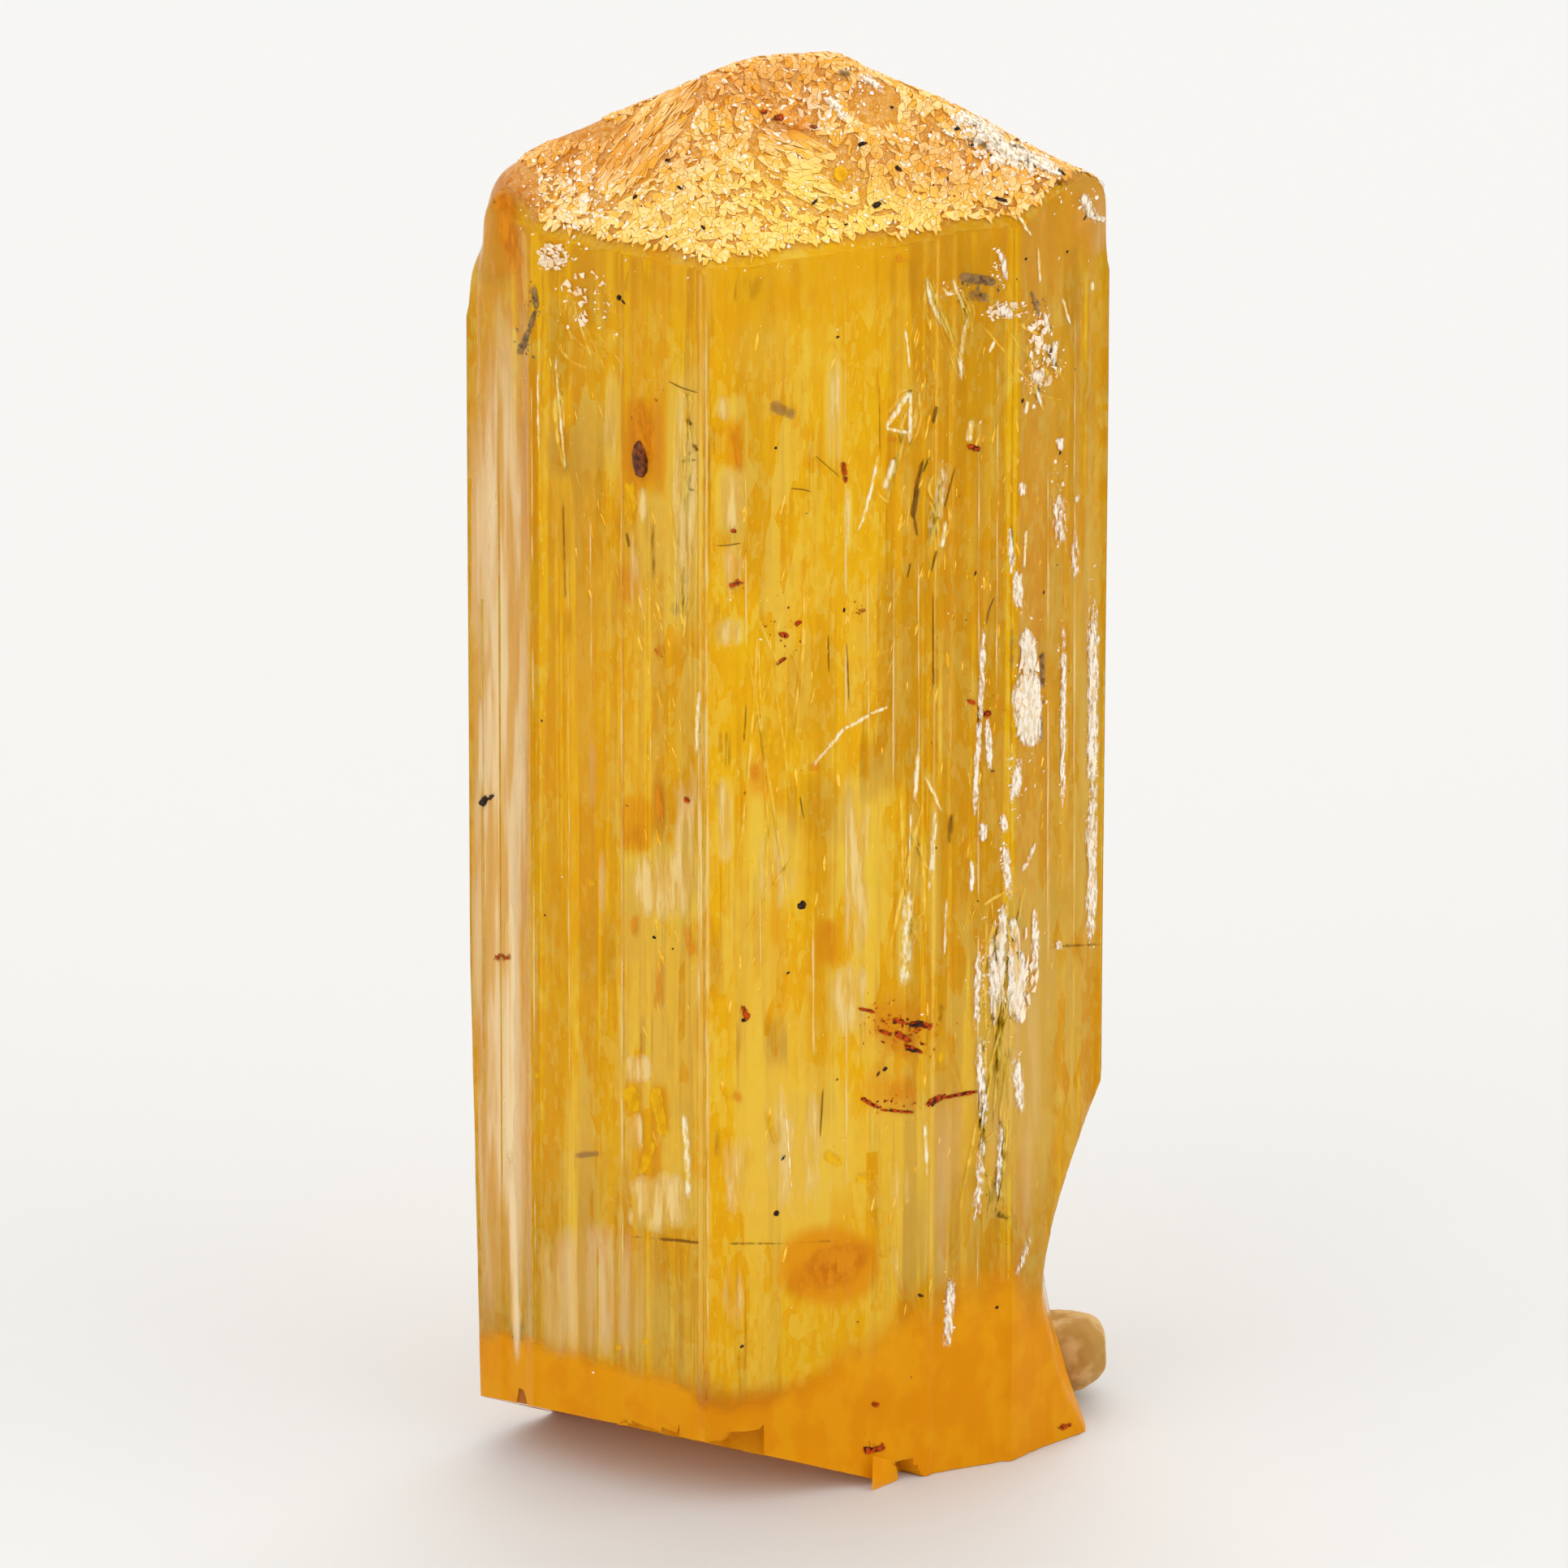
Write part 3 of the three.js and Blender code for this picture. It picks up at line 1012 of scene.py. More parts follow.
    def build(self, finish: "TopazFinish") -> bpy.types.Object:
        """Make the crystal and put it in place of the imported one.

        Args:
            finish: the crystal's material.

        Returns:
            The crystal.
        """
        angles, along = self.columns()
        sides = self.sides(angles, along)
        roof, base = self.roof(sides[-1]), self.underside(sides[0])
        apex_height = float(roof[-1, :, 2].mean())
        apex = np.broadcast_to(np.array((*self.apex, apex_height)), (1, len(angles), 3))
        middle = np.zeros((1, len(angles), 3))
        points = np.concatenate([middle, base, sides, roof, apex])
        points[:, -1] = points[:, 0]
        roof_share = np.zeros(points.shape[:2])
        roof_share[-len(roof) - 1 :] = 1.0
        base_share = np.zeros(points.shape[:2])
        base_share[: len(base) + 1] = 1.0
        shoulder = smoothstep(self.shoulder - 1.5, self.shoulder - 0.2, points[..., 2]) * (1 - roof_share)
        shares = {"roof": roof_share, "base": base_share, "shoulder": shoulder}
        mesh = woven(points, "topaz_crystal_body", shares)
        self.wear(mesh)
        kept_in_box(mesh)
        paint_zones(mesh, self.zones)
        body = placed(mesh, "crystal_body", finish.material())
        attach(body, "root")
        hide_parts("topaz_crystal")
        LOG.info("crystal body: %d faces", len(mesh.polygons))
        return body


def woven(points: np.ndarray, name: str, shares: dict[str, np.ndarray]) -> bpy.types.Mesh:
    """Make a mesh from a sheet of rows whose ends meet, welded where its points coincide.

    Args:
        points: rows x columns x 3, in millimetres.
        name: name of the mesh.
        shares: rows x columns of values that its material reads, by attribute name.

    Returns:
        The mesh, in metres, smooth and facing out.
    """
    rows, columns = points.shape[:2]
    sheet = bmesh.new()
    sheet.loops.layers.uv.new("weave")
    bmesh.ops.create_grid(sheet, x_segments=columns - 1, y_segments=rows - 1, size=1.0, calc_uvs=True)
    sheet.verts.ensure_lookup_table()
    flat = points.reshape(-1, 3) * MM
    for vertex, place in zip(sheet.verts, flat):
        vertex.co = place
    for label, values in shares.items():
        layer = sheet.verts.layers.float.new(label)
        for vertex, value in zip(sheet.verts, values.ravel()):
            vertex[layer] = value
    bmesh.ops.remove_doubles(sheet, verts=sheet.verts, dist=1e-8)
    bmesh.ops.recalc_face_normals(sheet, faces=sheet.faces)
    mesh = bpy.data.meshes.new(name)
    sheet.to_mesh(mesh)
    sheet.free()
    mesh.shade_smooth()
    return mesh


def placed(mesh: bpy.types.Mesh, name: str, material: bpy.types.Material) -> bpy.types.Object:
    """Link an object that shows a mesh in a material.

    Args:
        mesh: the mesh, in metres.
        name: name of the object.
        material: its material.

    Returns:
        The object.
    """
    mesh.materials.append(material)
    thing = bpy.data.objects.new(name, mesh)
    bpy.context.scene.collection.objects.link(thing)
    return thing


def kept_in_box(mesh: bpy.types.Mesh) -> None:
    """Hold every vertex of a mesh, in metres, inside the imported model's box.

    Args:
        mesh: the mesh.
    """
    places = np.zeros(len(mesh.vertices) * 3)
    mesh.vertices.foreach_get("co", places)
    low, high = (np.array(corner) for corner in CAD_BOX)
    held = np.clip(places.reshape(-1, 3), low + BOX_SLACK, high - BOX_SLACK)
    mesh.vertices.foreach_set("co", held.ravel())
    mesh.update()


@dataclass(frozen=True)
class GrowthCells:
    """Straight-sided cells of one size in millimetres: the highest are paler, the lowest are amber.

    Each tone has the value of a cell at which it starts and the value at which it is full.
    """

    size: float
    stretch: float
    shift: float
    pale: Pair
    amber: Pair
    most_pale: float = 0.5
    most_amber: float = 0.5


@dataclass(frozen=True)
class TopazFinish:
    """Milky golden topaz: absorption inside, streaks and colour zones on its faces, an etched roof."""

    name: str = "topaz_clear"
    index: float = 1.62
    transmission: float = 0.64
    density: float = 520.0
    tint: Colour = (0.9975, 0.95, 0.0, 1.0)
    glint: Colour = (1.0, 0.72, 0.12, 1.0)
    gold: Colour = (0.97, 0.57, 0.002, 1.0)
    straw: Colour = (0.98, 0.65, 0.008, 1.0)
    amber: Colour = (0.93, 0.47, 0.001, 1.0)
    pale: Colour = (1.0, 0.78, 0.13, 1.0)
    orange: Colour = (0.9, 0.36, 0.005, 1.0)
    shoulder: Colour = (0.94, 0.5, 0.005, 1.0)
    roof_roughness: float = 0.4
    side_roughness: Pair = (0.05, 0.18)
    relief: float = 0.35
    cells: tuple[GrowthCells, ...] = (
        GrowthCells(0.55, 4.5, 0.0, (0.62, 0.9), (0.3, 0.08)),
        GrowthCells(0.23, 2.3, 3.0, (0.7, 0.95), (0.28, 0.04), most_amber=0.6),
        GrowthCells(0.1, 3.2, 8.0, (0.75, 0.95), (0.25, 0.05)),
    )

    def colour(self, wiring: Wiring, streak: dict, patch: dict) -> bpy.types.NodeSocket:
        """Return the colour of the faces.

        Args:
            wiring: the material's wiring.
            streak: outputs of the streaks that run along the height.
            patch: outputs of the broad patches.

        Returns:
            The colour.
        """
        colour = wiring.wash(self.gold, patch["Mask"], 0.6, self.straw)
        colour = wiring.wash(colour, streak["Mask"], 0.3, self.amber)
        values = []
        for cells in self.cells:
            sizes = {"Size": cells.size, "Stretch": cells.stretch, "Shift": cells.shift}
            value = wiring.group(blocks_group(), **sizes)["Cell"]
            high = wiring.ramp(value, *cells.pale, (0.0, cells.most_pale))
            colour = wiring.mix(high, colour, self.pale)
            low = wiring.ramp(value, *cells.amber, (0.0, cells.most_amber))
            colour = wiring.mix(low, colour, self.amber)
            values.append(value)
        edge = wiring.math("MULTIPLY", wiring.math("SUBTRACT", streak["Height"], 0.5), 0.5)
        largest = wiring.math("ADD", values[0], 0.5)
        patchy = wiring.math("MULTIPLY", wiring.attribute(Tone.PATCHY.value), largest)
        milky = wiring.ramp(wiring.math("ADD", patchy, edge), 0.38, 0.62, (0.0, 0.75))
        colour = wiring.mix(milky, colour, self.pale)
        for tone, paint in ((Tone.PALE, self.pale), (Tone.AMBER, self.amber), (Tone.ORANGE, self.orange)):
            share = wiring.math("ADD", wiring.attribute(tone.value), edge)
            colour = wiring.mix(wiring.ramp(share, 0.12, 0.88), colour, paint)
        colour = wiring.wash(colour, wiring.attribute("shoulder"), 0.7, self.shoulder)
        return wiring.mix(wiring.attribute("base"), colour, self.orange)

    def material(self) -> bpy.types.Material:
        """Return the material.

        Returns:
            The material.
        """
        material, wiring, shader = blank_material(self.name)
        wiring.dress(shader, IOR=self.index, Transmission_Weight=self.transmission)
        wiring.feed(shader, "Specular Tint", self.glint)
        fine = wiring.group(mottle_group(), Size=0.17, Stretch=33.0)
        streak = wiring.group(mottle_group(), Size=0.67, Stretch=25.0, Low=0.4, High=0.65)
        patch = wiring.group(mottle_group(), Size=3.0, Stretch=2.2, Low=0.46, High=0.56, Shift=4.0)
        roof = wiring.attribute("roof")
        wiring.feed(shader, "Base Color", self.colour(wiring, streak, patch))
        rough = wiring.ramp(streak["Height"], 0.3, 0.7, self.side_roughness)
        wiring.feed(shader, "Roughness", wiring.between(roof, rough, self.roof_roughness))
        grooves = wiring.math("ADD", fine["Height"], wiring.math("MULTIPLY", streak["Height"], 2.0))
        calm = wiring.math("SUBTRACT", 1.0, wiring.attribute("shoulder"))
        height = wiring.between(roof, wiring.math("MULTIPLY", grooves, calm), fine["Height"])
        wiring.feed(shader, "Normal", wiring.bump(height, self.relief))
        inside = wiring.add("ShaderNodeVolumeAbsorption", Color=self.tint, Density=self.density)
        wiring.feed(material.node_tree.nodes["Material Output"], "Volume", inside.outputs[0])
        return material


# ---- Studio ----


@dataclass(frozen=True)
class SoftPanel:
    """One round soft light, far off in the air around the specimen."""

    azimuth: float
    elevation: float
    half_angle: float
    radiance: float
    softness: float = 0.5

    def direction(self) -> Vector:
        """Return the direction of the panel from the specimen."""
        turn, rise = math.radians(self.azimuth), math.radians(self.elevation)
        return Vector((math.sin(turn) * math.cos(rise), -math.cos(turn) * math.cos(rise), math.sin(rise)))


@dataclass
class Studio:
    """Plain pale floor under a dome of soft light."""

    floor_radius: float = 1.6
    floor_gap: float = 0.00002
    floor_colour: Colour = (0.7, 0.7, 0.69, 1)
    air_colour: Colour = (1.0, 0.99, 0.98, 1)
    base: float = 0.86
    panels: tuple[SoftPanel, ...] = (
        SoftPanel(-50, 42, 34, 1.0),
        SoftPanel(70, 35, 32, 1.1),
        SoftPanel(175, 48, 36, 1.2),
    )

    def floor(self) -> None:
        """Make the floor, a hair under the specimen."""
        disc = bmesh.new()
        bmesh.ops.create_circle(disc, cap_ends=True, segments=96, radius=self.floor_radius)
        bmesh.ops.translate(disc, verts=disc.verts, vec=(0, 0, -self.floor_gap))
        mesh = bpy.data.meshes.new("floor")
        disc.to_mesh(mesh)
        disc.free()
        material, wiring, shader = blank_material("floor")
        wiring.dress(shader, Base_Color=self.floor_colour, Roughness=0.6, Specular_IOR_Level=0.2)
        placed(mesh, "floor", material)

    def build(self) -> None:
        """Make the floor and the dome of light."""
        self.floor()
        scene = bpy.context.scene
        world = bpy.data.worlds.new("studio")
        scene.world = world
        world.use_nodes = True
        world.cycles.sampling_method = "NONE"
        wiring = Wiring(world.node_tree)
        air = world.node_tree.nodes["Background"]
        way = wiring.add("ShaderNodeTexCoord").outputs["Generated"]
        total = self.base
        for panel in self.panels:
            facing = wiring.add("ShaderNodeVectorMath", {"operation": "DOT_PRODUCT"})
            wiring.feed(facing, 0, way)
            wiring.feed(facing, 1, panel.direction())
            edge = math.cos(math.radians(panel.half_angle))
            inner = math.cos(math.radians(panel.half_angle * (1 - panel.softness)))
            glow = wiring.ramp(facing.outputs["Value"], edge, inner, (0.0, panel.radiance))
            total = wiring.math("ADD", glow, total)
        wiring.feed(air, "Strength", total)
        wiring.feed(air, "Color", self.air_colour)
        scene.view_settings.view_transform = "Standard"


# ---- What lies on the crystal ----


class Skin:
    """The finished crystal as the eye meets it, for placing things on it."""

    def __init__(self, tree: BVHTree, view: Viewpoint) -> None:
        """Keep the body's faces for rays from the viewpoint."""
        self.tree, self.view, self.eye = tree, view, view.eye()

    def seen(self, column: float, row: float) -> tuple[Vector, Vector] | None:
        """Return where a line of sight meets the crystal and the normal there, or None."""
        place, normal, _, _ = self.tree.ray_cast(self.eye, self.view.sight(column, row))
        return None if place is None else (place, normal)

    def turned_away(self, column: float, row: float) -> bool:
        """Return whether a place lies on the crystal where the front view doesn't show it."""
        here = self.seen(column, row)
        return here is not None and here[1].dot(Viewpoint().axes()[2]) > -0.02

    def over(self, x: float, y: float) -> tuple[Vector, Vector] | None:
        """Return the place on the roof over a point, and the normal there, or None outside."""
        place, normal, _, _ = self.tree.ray_cast(Vector((x, y, FAR)), Vector((0, 0, -1)))
        return None if place is None else (place, normal)


def skins_of(body: bpy.types.Object) -> dict[Side, Skin]:
    """Return the crystal's skin as each side shows it.

    Args:
        body: the finished crystal.

    Returns:
        The skin by side.
    """
    solid = bmesh.new()
    solid.from_mesh(body.data)
    bmesh.ops.scale(solid, vec=(1 / MM,) * 3, verts=solid.verts)
    tree = BVHTree.FromBMesh(solid)
    solid.free()
    return {side: Skin(tree, Viewpoint(azimuth=side.value)) for side in Side}


@dataclass(frozen=True)
class StoneFinish:
    """A dull finish: mottled colour and grainy bump, worn through towards the edges of a film."""

    name: str
    dark: Colour
    light: Colour
    roughness: float = 0.85
    size: float = 0.2
    stretch: float = 1.0
    film: bool = True
    opacity: float = 1.0
    torn: float = 0.9
    gloss: float = 0.1
    relief: float = 0.6
    fade: Pair = (0.2, 0.6)

    def material(self) -> bpy.types.Material:
        """Return the material.

        Returns:
            The material.
        """
        material, wiring, shader = blank_material(self.name)
        grain = wiring.group(mottle_group(), Size=self.size, Stretch=self.stretch, Detail=3.0)
        wiring.feed(shader, "Base Color", wiring.mix(grain["Mask"], self.dark, self.light))
        wiring.dress(shader, Roughness=self.roughness, Specular_IOR_Level=self.gloss)
        wiring.feed(shader, "Normal", wiring.bump(grain["Height"], self.relief))
        if self.film:
            worn = wiring.math("MULTIPLY", wiring.math("SUBTRACT", grain["Height"], 0.5), self.torn * 2)
            share = wiring.math("ADD", wiring.attribute("cover"), worn)
            wiring.feed(shader, "Alpha", wiring.ramp(share, *self.fade, (0.0, self.opacity)))
        return material


@dataclass(frozen=True)
class Smear:
    """One thin smear: from a first to a last place of the frame, in its pixels.

    Its width and the bend of its middle are in millimetres.
    """

    first: Pair
    last: Pair
    width: float
    cover: float = 1.0
    bend: float = 0.0
    ragged: float = 0.3
    side: Side = Side.FRONT


def strokes(**rows: tuple[float, ...]) -> tuple[Smear, ...]:
    """Return smears of the front view.

    Args:
        rows: by name, the first column and row, the last column and row, and the width, then as far
            as they differ the cover, the bend and how ragged it is.

    Returns:
        The smears.
    """
    return tuple(Smear((x, y), (u, v), *rest) for x, y, u, v, *rest in rows.values())


@dataclass
class Deposit:
    """Many thin smears of one kind, joined in one mesh of closed films."""

    name: str
    slot: str
    finish: StoneFinish
    smears: tuple[Smear, ...]
    thickness: float = 0.03
    cell: float = 0.12
    lift: float = 0.01
    sides: float = 2.5
    ends: float = 7.0
    longest: float = 0.8
    least_long_cells: int = 4
    most_long_cells: int = 110
    least_wide_cells: int = 3
    most_wide_cells: int = 24
    layer_step: float = 2e-4
    seed: int = 1
    blunt: int = 5  # higher is a blunter end
    narrowest: float = 0.4  # pixels
    spread: int = 0
    spread_width: Pair = (0.1, 0.4)
    spread_length: float = 130.0
    spread_least: float = 15.0
    spread_lean: float = 5.0

    def scattered(self, side: Side, draw: random.Random) -> list[Smear]:
        """Return smears along the height, spread over one side.

        Args:
            side: the side.
            draw: the random numbers that they take.

        Returns:
            The smears.
        """
        found = []
        for _ in range(self.spread):
            x, y = side.place(draw, *BODY_ROWS)
            half = self.spread_least + self.spread_length * draw.random() ** 2
            ends = (x, y - half), (x + draw.uniform(-self.spread_lean, self.spread_lean), y + half)
            least, greatest = self.spread_width
            width = least + (greatest - least) * draw.random() ** 2
            found.append(Smear(*ends, width, draw.uniform(0.5, 1.0), side=side))
        return found

    def lay(self, film: bmesh.types.BMesh, smear: Smear, skin: Skin, number: int) -> None:
        """Lay one smear.

        Args:
            film: the mesh that it joins.
            smear: the smear.
            skin: the crystal that it lies on.
            number: its number, which picks its ragged edge.
        """
        scale = PIXELS_A_MILLIMETRE
        first, last = np.array(smear.first, float), np.array(smear.last, float)
        length = max(float(np.linalg.norm(last - first)), 1.0)
        run = (last - first) / length
        side = np.array((-run[1], run[0]))
        along = length / scale / self.cell
        long_cells = int(np.clip(along, self.least_long_cells, self.most_long_cells))
        wide_cells = int(np.clip(smear.width / self.cell, self.least_wide_cells, self.most_wide_cells))
        made = bmesh.ops.create_grid(film, x_segments=wide_cells, y_segments=long_cells, size=1.0)["verts"]
        flow = np.array([(vertex.co.x, vertex.co.y) for vertex in made])
        wobble = value_noise(flow[:, 1] * length / scale + 9.0, number * 3.7 + (flow[:, 0] > 0), self.seed)
        swell = np.sqrt(np.maximum(1 - np.abs(flow[:, 1]) ** self.blunt, 0.0))
        half = smear.width * scale / 2 * swell * (1 - smear.ragged * (1 - wobble))
        half = np.maximum(half, self.narrowest)
        middle = (first + last) / 2 + np.outer(flow[:, 1] * length / 2, run)
        places = middle + np.outer(flow[:, 0] * half + smear.bend * scale * (1 - flow[:, 1] ** 2), side)
        cover = film.verts.layers.float["cover"]
        lost = []
        for vertex, place, (u, v) in zip(made, places, flow):
            ground = skin.seen(*place)
            if ground is None:
                lost.append(vertex)
                continue
            point, way = ground
            lift = self.lift + self.layer_step * number + (PLATES_HEIGHT if way.z > ROOF_SLOPE else 0.0)
            vertex.co = point + way * lift
            vertex[cover] = smear.cover * (1 - abs(u) ** self.sides) * (1 - abs(v) ** self.ends)
        bmesh.ops.delete(film, geom=lost, context="VERTS")
        lost = set(lost)
        kept = [vertex for vertex in made if vertex not in lost]
        edges = {edge for vertex in kept for edge in vertex.link_edges}
        torn = [edge for edge in edges if edge.calc_length() > self.longest]
        bmesh.ops.delete(film, geom=torn, context="EDGES")

    def build(self, skins: dict[Side, Skin]) -> bpy.types.Object:
        """Make the deposit.

        Args:
            skins: the crystal that it lies on, by side.

        Returns:
            The joined smears.
        """
        draw = random.Random(self.name)
        film = bmesh.new()
        film.verts.layers.float.new("cover")
        smears = list(self.smears)
        for side in (Side.RIGHT, Side.BACK, Side.LEFT):
            skin = skins[side]
            smears.extend(s for s in self.scattered(side, draw) if skin.turned_away(*s.first))
        for number, smear in enumerate(smears):
            self.lay(film, smear, skins[smear.side], number + 1)
        unpinch(film)
        bmesh.ops.solidify(film, geom=film.faces[:], thickness=self.thickness)
        rein_in(film, self.longest)
        return finished(film, self.name, self.finish.material())


def rein_in(shell: bmesh.types.BMesh, longest: float) -> None:
    """Bring a corner that solidify has thrown off a sliver back to the middle of its neighbours.

    Args:
        shell: the solidified film, in millimetres.
        longest: length above which all of a corner's edges are too long.
    """
    for vertex in shell.verts:
        if min(edge.calc_length() for edge in vertex.link_edges) > longest:
            near = [edge.other_vert(vertex).co for edge in vertex.link_edges]
            vertex.co = sum(near, Vector()) / len(near)


def unpinch(sheet: bmesh.types.BMesh) -> None:
    """Take away loose edges, and corners at which parts of a sheet only touch.

    Args:
        sheet: the sheet, before it gets its thickness.
    """
    while True:
        loose = [edge for edge in sheet.edges if not edge.link_faces]
        bmesh.ops.delete(sheet, geom=loose, context="EDGES")
        rims = {v: sum(edge.is_boundary for edge in v.link_edges) for v in sheet.verts}
        pinched = [v for v, count in rims.items() if not v.link_faces or count > 2]
        bmesh.ops.delete(sheet, geom=pinched, context="VERTS")
        if not pinched:
            return


def finished(
    shape: bmesh.types.BMesh, name: str, material: bpy.types.Material, smooth: bool = True
) -> bpy.types.Object:
    """Turn a shape in millimetres into a piece that rides on the crystal.

    Args:
        shape: the shape, which is freed.
        name: name of the piece.
        material: its material.
        smooth: whether it is shaded smooth.

    Returns:
        The piece.
    """
    bmesh.ops.recalc_face_normals(shape, faces=shape.faces)
    bmesh.ops.scale(shape, vec=(MM,) * 3, verts=shape.verts)
    mesh = bpy.data.meshes.new(name)
    shape.to_mesh(mesh)
    shape.free()
    kept_in_box(mesh)
    if smooth:
        mesh.shade_smooth()
        mesh.set_sharp_from_angle(angle=math.radians(50))
    piece = placed(mesh, name, material)
    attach(piece, "root")
    LOG.info("%s: %d faces", name, len(mesh.polygons))
    return piece


@dataclass
class ClayFilms(Deposit):
    """White clay in the grooves of the right faces, on the right of the roof, and a little all round."""

    name: str = "clay_films"
    slot: str = "clay"
    spread: int = 8
    spread_width: Pair = (0.08, 0.4)
    finish: StoneFinish = StoneFinish(
        "clay", linear(236, 214, 176), linear(255, 246, 230),
        size=0.08, stretch=3.0, opacity=0.9, torn=1.3, fade=(0.15, 0.95),
    )
    sides: float = 2.0
    ends: float = 3.0
    lift: float = 0.05
    smears: tuple[Smear, ...] = strokes(
        patch_top=(1262, 772, 1270, 832, 0.5, 1.5),
        patch=(1266, 822, 1268, 922, 0.8, 1.9, 0, 0.15),
        patch_left=(1248, 850, 1254, 900, 0.2, 0.7),
        streak_1210=(1212, 770, 1206, 910, 0.2),
        streak_1205=(1207, 870, 1200, 1005, 0.2),
        streak_1216=(1215, 880, 1219, 950, 0.26),
        streak_1308=(1310, 765, 1308, 1005, 0.2),
        streak_1345=(1346, 735, 1345, 985, 0.42),
        streak_1345_low=(1345, 955, 1343, 1170, 0.4),
        chain_1=(1256, 932, 1247, 992, 0.3),
        chain_2=(1236, 1000, 1238, 1026, 0.3),
        chain_3=(1211, 1010, 1211, 1038, 0.3),
        chain_4=(1237, 1036, 1245, 1110, 0.32),
        chain_5=(1197, 1058, 1196, 1104, 0.18),
        chain_6=(1277, 1035, 1258, 1075, 0.16, 0.7),
        cluster_1=(1237, 1108, 1228, 1245, 0.4, 1.3),
        cluster_2=(1222, 1150, 1225, 1265, 0.34),
        cluster_3=(1252, 1165, 1252, 1262, 0.6, 1.4),
        cluster_4=(1273, 1118, 1275, 1200, 0.26),
        cluster_5=(1205, 1170, 1202, 1270, 0.24),
        cluster_6=(1248, 1128, 1250, 1160, 0.34),
        spot_1304=(1303, 1157, 1305, 1172, 0.26),
        low_1=(1206, 1275, 1212, 1394, 0.34, 0.8),
        low_2=(1212, 1390, 1201, 1510, 0.3, 0.55),
        low_3=(1252, 1300, 1256, 1372, 0.34),
        low_4=(1233, 1380, 1228, 1480, 0.26, 0.65),
        low_5=(1268, 1520, 1252, 1575, 0.24, 0.55),
        foot=(1172, 1573, 1166, 1664, 0.34),
        roof_1=(1172, 148, 1210, 150, 0.4),
        roof_2=(1198, 144, 1234, 182, 0.6),
        roof_3=(1220, 178, 1270, 200, 0.55),
        roof_4=(1258, 192, 1308, 218, 0.4),
        roof_5=(1333, 238, 1345, 270, 0.36),
        roof_6=(1343, 267, 1366, 271, 0.22),
        crescent_1=(1012, 122, 1038, 150, 0.3, 1, -0.12),
        crescent_2=(1050, 96, 1088, 118, 0.28, 0.8, -0.1),
        upper_1=(1270, 454, 1284, 474, 0.42),
        upper_2=(1226, 376, 1252, 392, 0.34),
        upper_3=(1299, 416, 1297, 450, 0.24),
        upper_4=(1230, 306, 1240, 345, 0.22),
        upper_5=(1285, 382, 1292, 414, 0.14),
        upper_6=(1278, 478, 1280, 500, 0.2),
        groove_1=(1258, 592, 1258, 612, 0.3),
        groove_2=(1244, 650, 1248, 712, 0.26, 0.8),
        groove_3=(1251, 700, 1256, 752, 0.34),
        groove_4=(1303, 536, 1307, 556, 0.36),
        groove_5=(1300, 605, 1307, 672, 0.5, 0.55),
        groove_6=(1322, 612, 1330, 616, 0.3, 0.7),
        groove_7=(1322, 650, 1324, 720, 0.3, 0.45),
    )


@dataclass
class MilkyVeilAndSheen(Deposit):
    """Pale streaks: on the left faces a painted sheen and painted highlights, and milky streaks on the
    others.
    """

    name: str = "milky_veil"
    slot: str = "inclusion"
    spread: int = 6
    spread_width: Pair = (0.5, 2.4)
    spread_length: float = 420.0
    finish: StoneFinish = StoneFinish(
        "veil", linear(242, 192, 112), linear(254, 226, 174), 0.5,
        size=0.5, stretch=12.0, opacity=0.8, torn=0.4, fade=(0.1, 1.2),
    )
    sides: float = 1.6
    ends: float = 5.0
    smears: tuple[Smear, ...] = strokes(
        # This smear and the next seven, down the left faces, are painted sheen and painted highlight
        # streaks.
        sheet=(614, 330, 619, 1684, 2.3, 0.95, 0, 0.05),
        streak_608=(607, 440, 609, 870, 0.55, 0.8),
        block_636=(637, 598, 638, 640, 0.7, 0.7),
        streak_636=(637, 640, 636, 1120, 0.4, 0.7),
        streak_590=(590, 850, 592, 980, 0.45, 0.9),
        streak_640=(642, 900, 644, 1160, 0.6, 0.7),
        bright_628=(628, 1090, 628, 1440, 0.45, 2.2),
        bright_632=(629, 1420, 637, 1686, 0.45, 1.3),
        foot_sheet=(730, 1500, 735, 1682, 4.6, 0.6, 0, 0.1),
        haze_right=(1262, 1120, 1252, 1540, 2.4, 0.4),
        haze_low=(1160, 1320, 1160, 1600, 2.0, 0.32),
        strip_731=(731, 905, 731, 1005, 0.45, 0.7),
        strip_745=(741, 1040, 742, 1130, 0.4, 0.5),
    )


@dataclass
class PeachRind(Deposit):
    """Peach rind of the worn corners under the roof."""

    name: str = "peach_rind"
    slot: str = "inclusion"
    finish: StoneFinish = StoneFinish(
        "rind", linear(238, 168, 56), linear(246, 188, 92), 0.55,
        size=1.4, opacity=0.7, torn=0.1, fade=(0.0, 1.2),
    )
    sides: float = 2.0
    ends: float = 1.8
    lift: float = 0.006
    smears: tuple[Smear, ...] = strokes(
        corner_right=(1326, 200, 1352, 320, 1.7, 0.6, 0, 0.1),
        skyline_right=(1240, 172, 1345, 228, 0.9, 0.8, 0, 0.1),
        corner_left=(600, 240, 584, 330, 0.8, 0.8, 0, 0.1),
        ledge_1=(592, 336, 590, 440, 0.22, 0.9),
        ledge_2=(606, 300, 612, 410, 0.2, 0.8),
    )


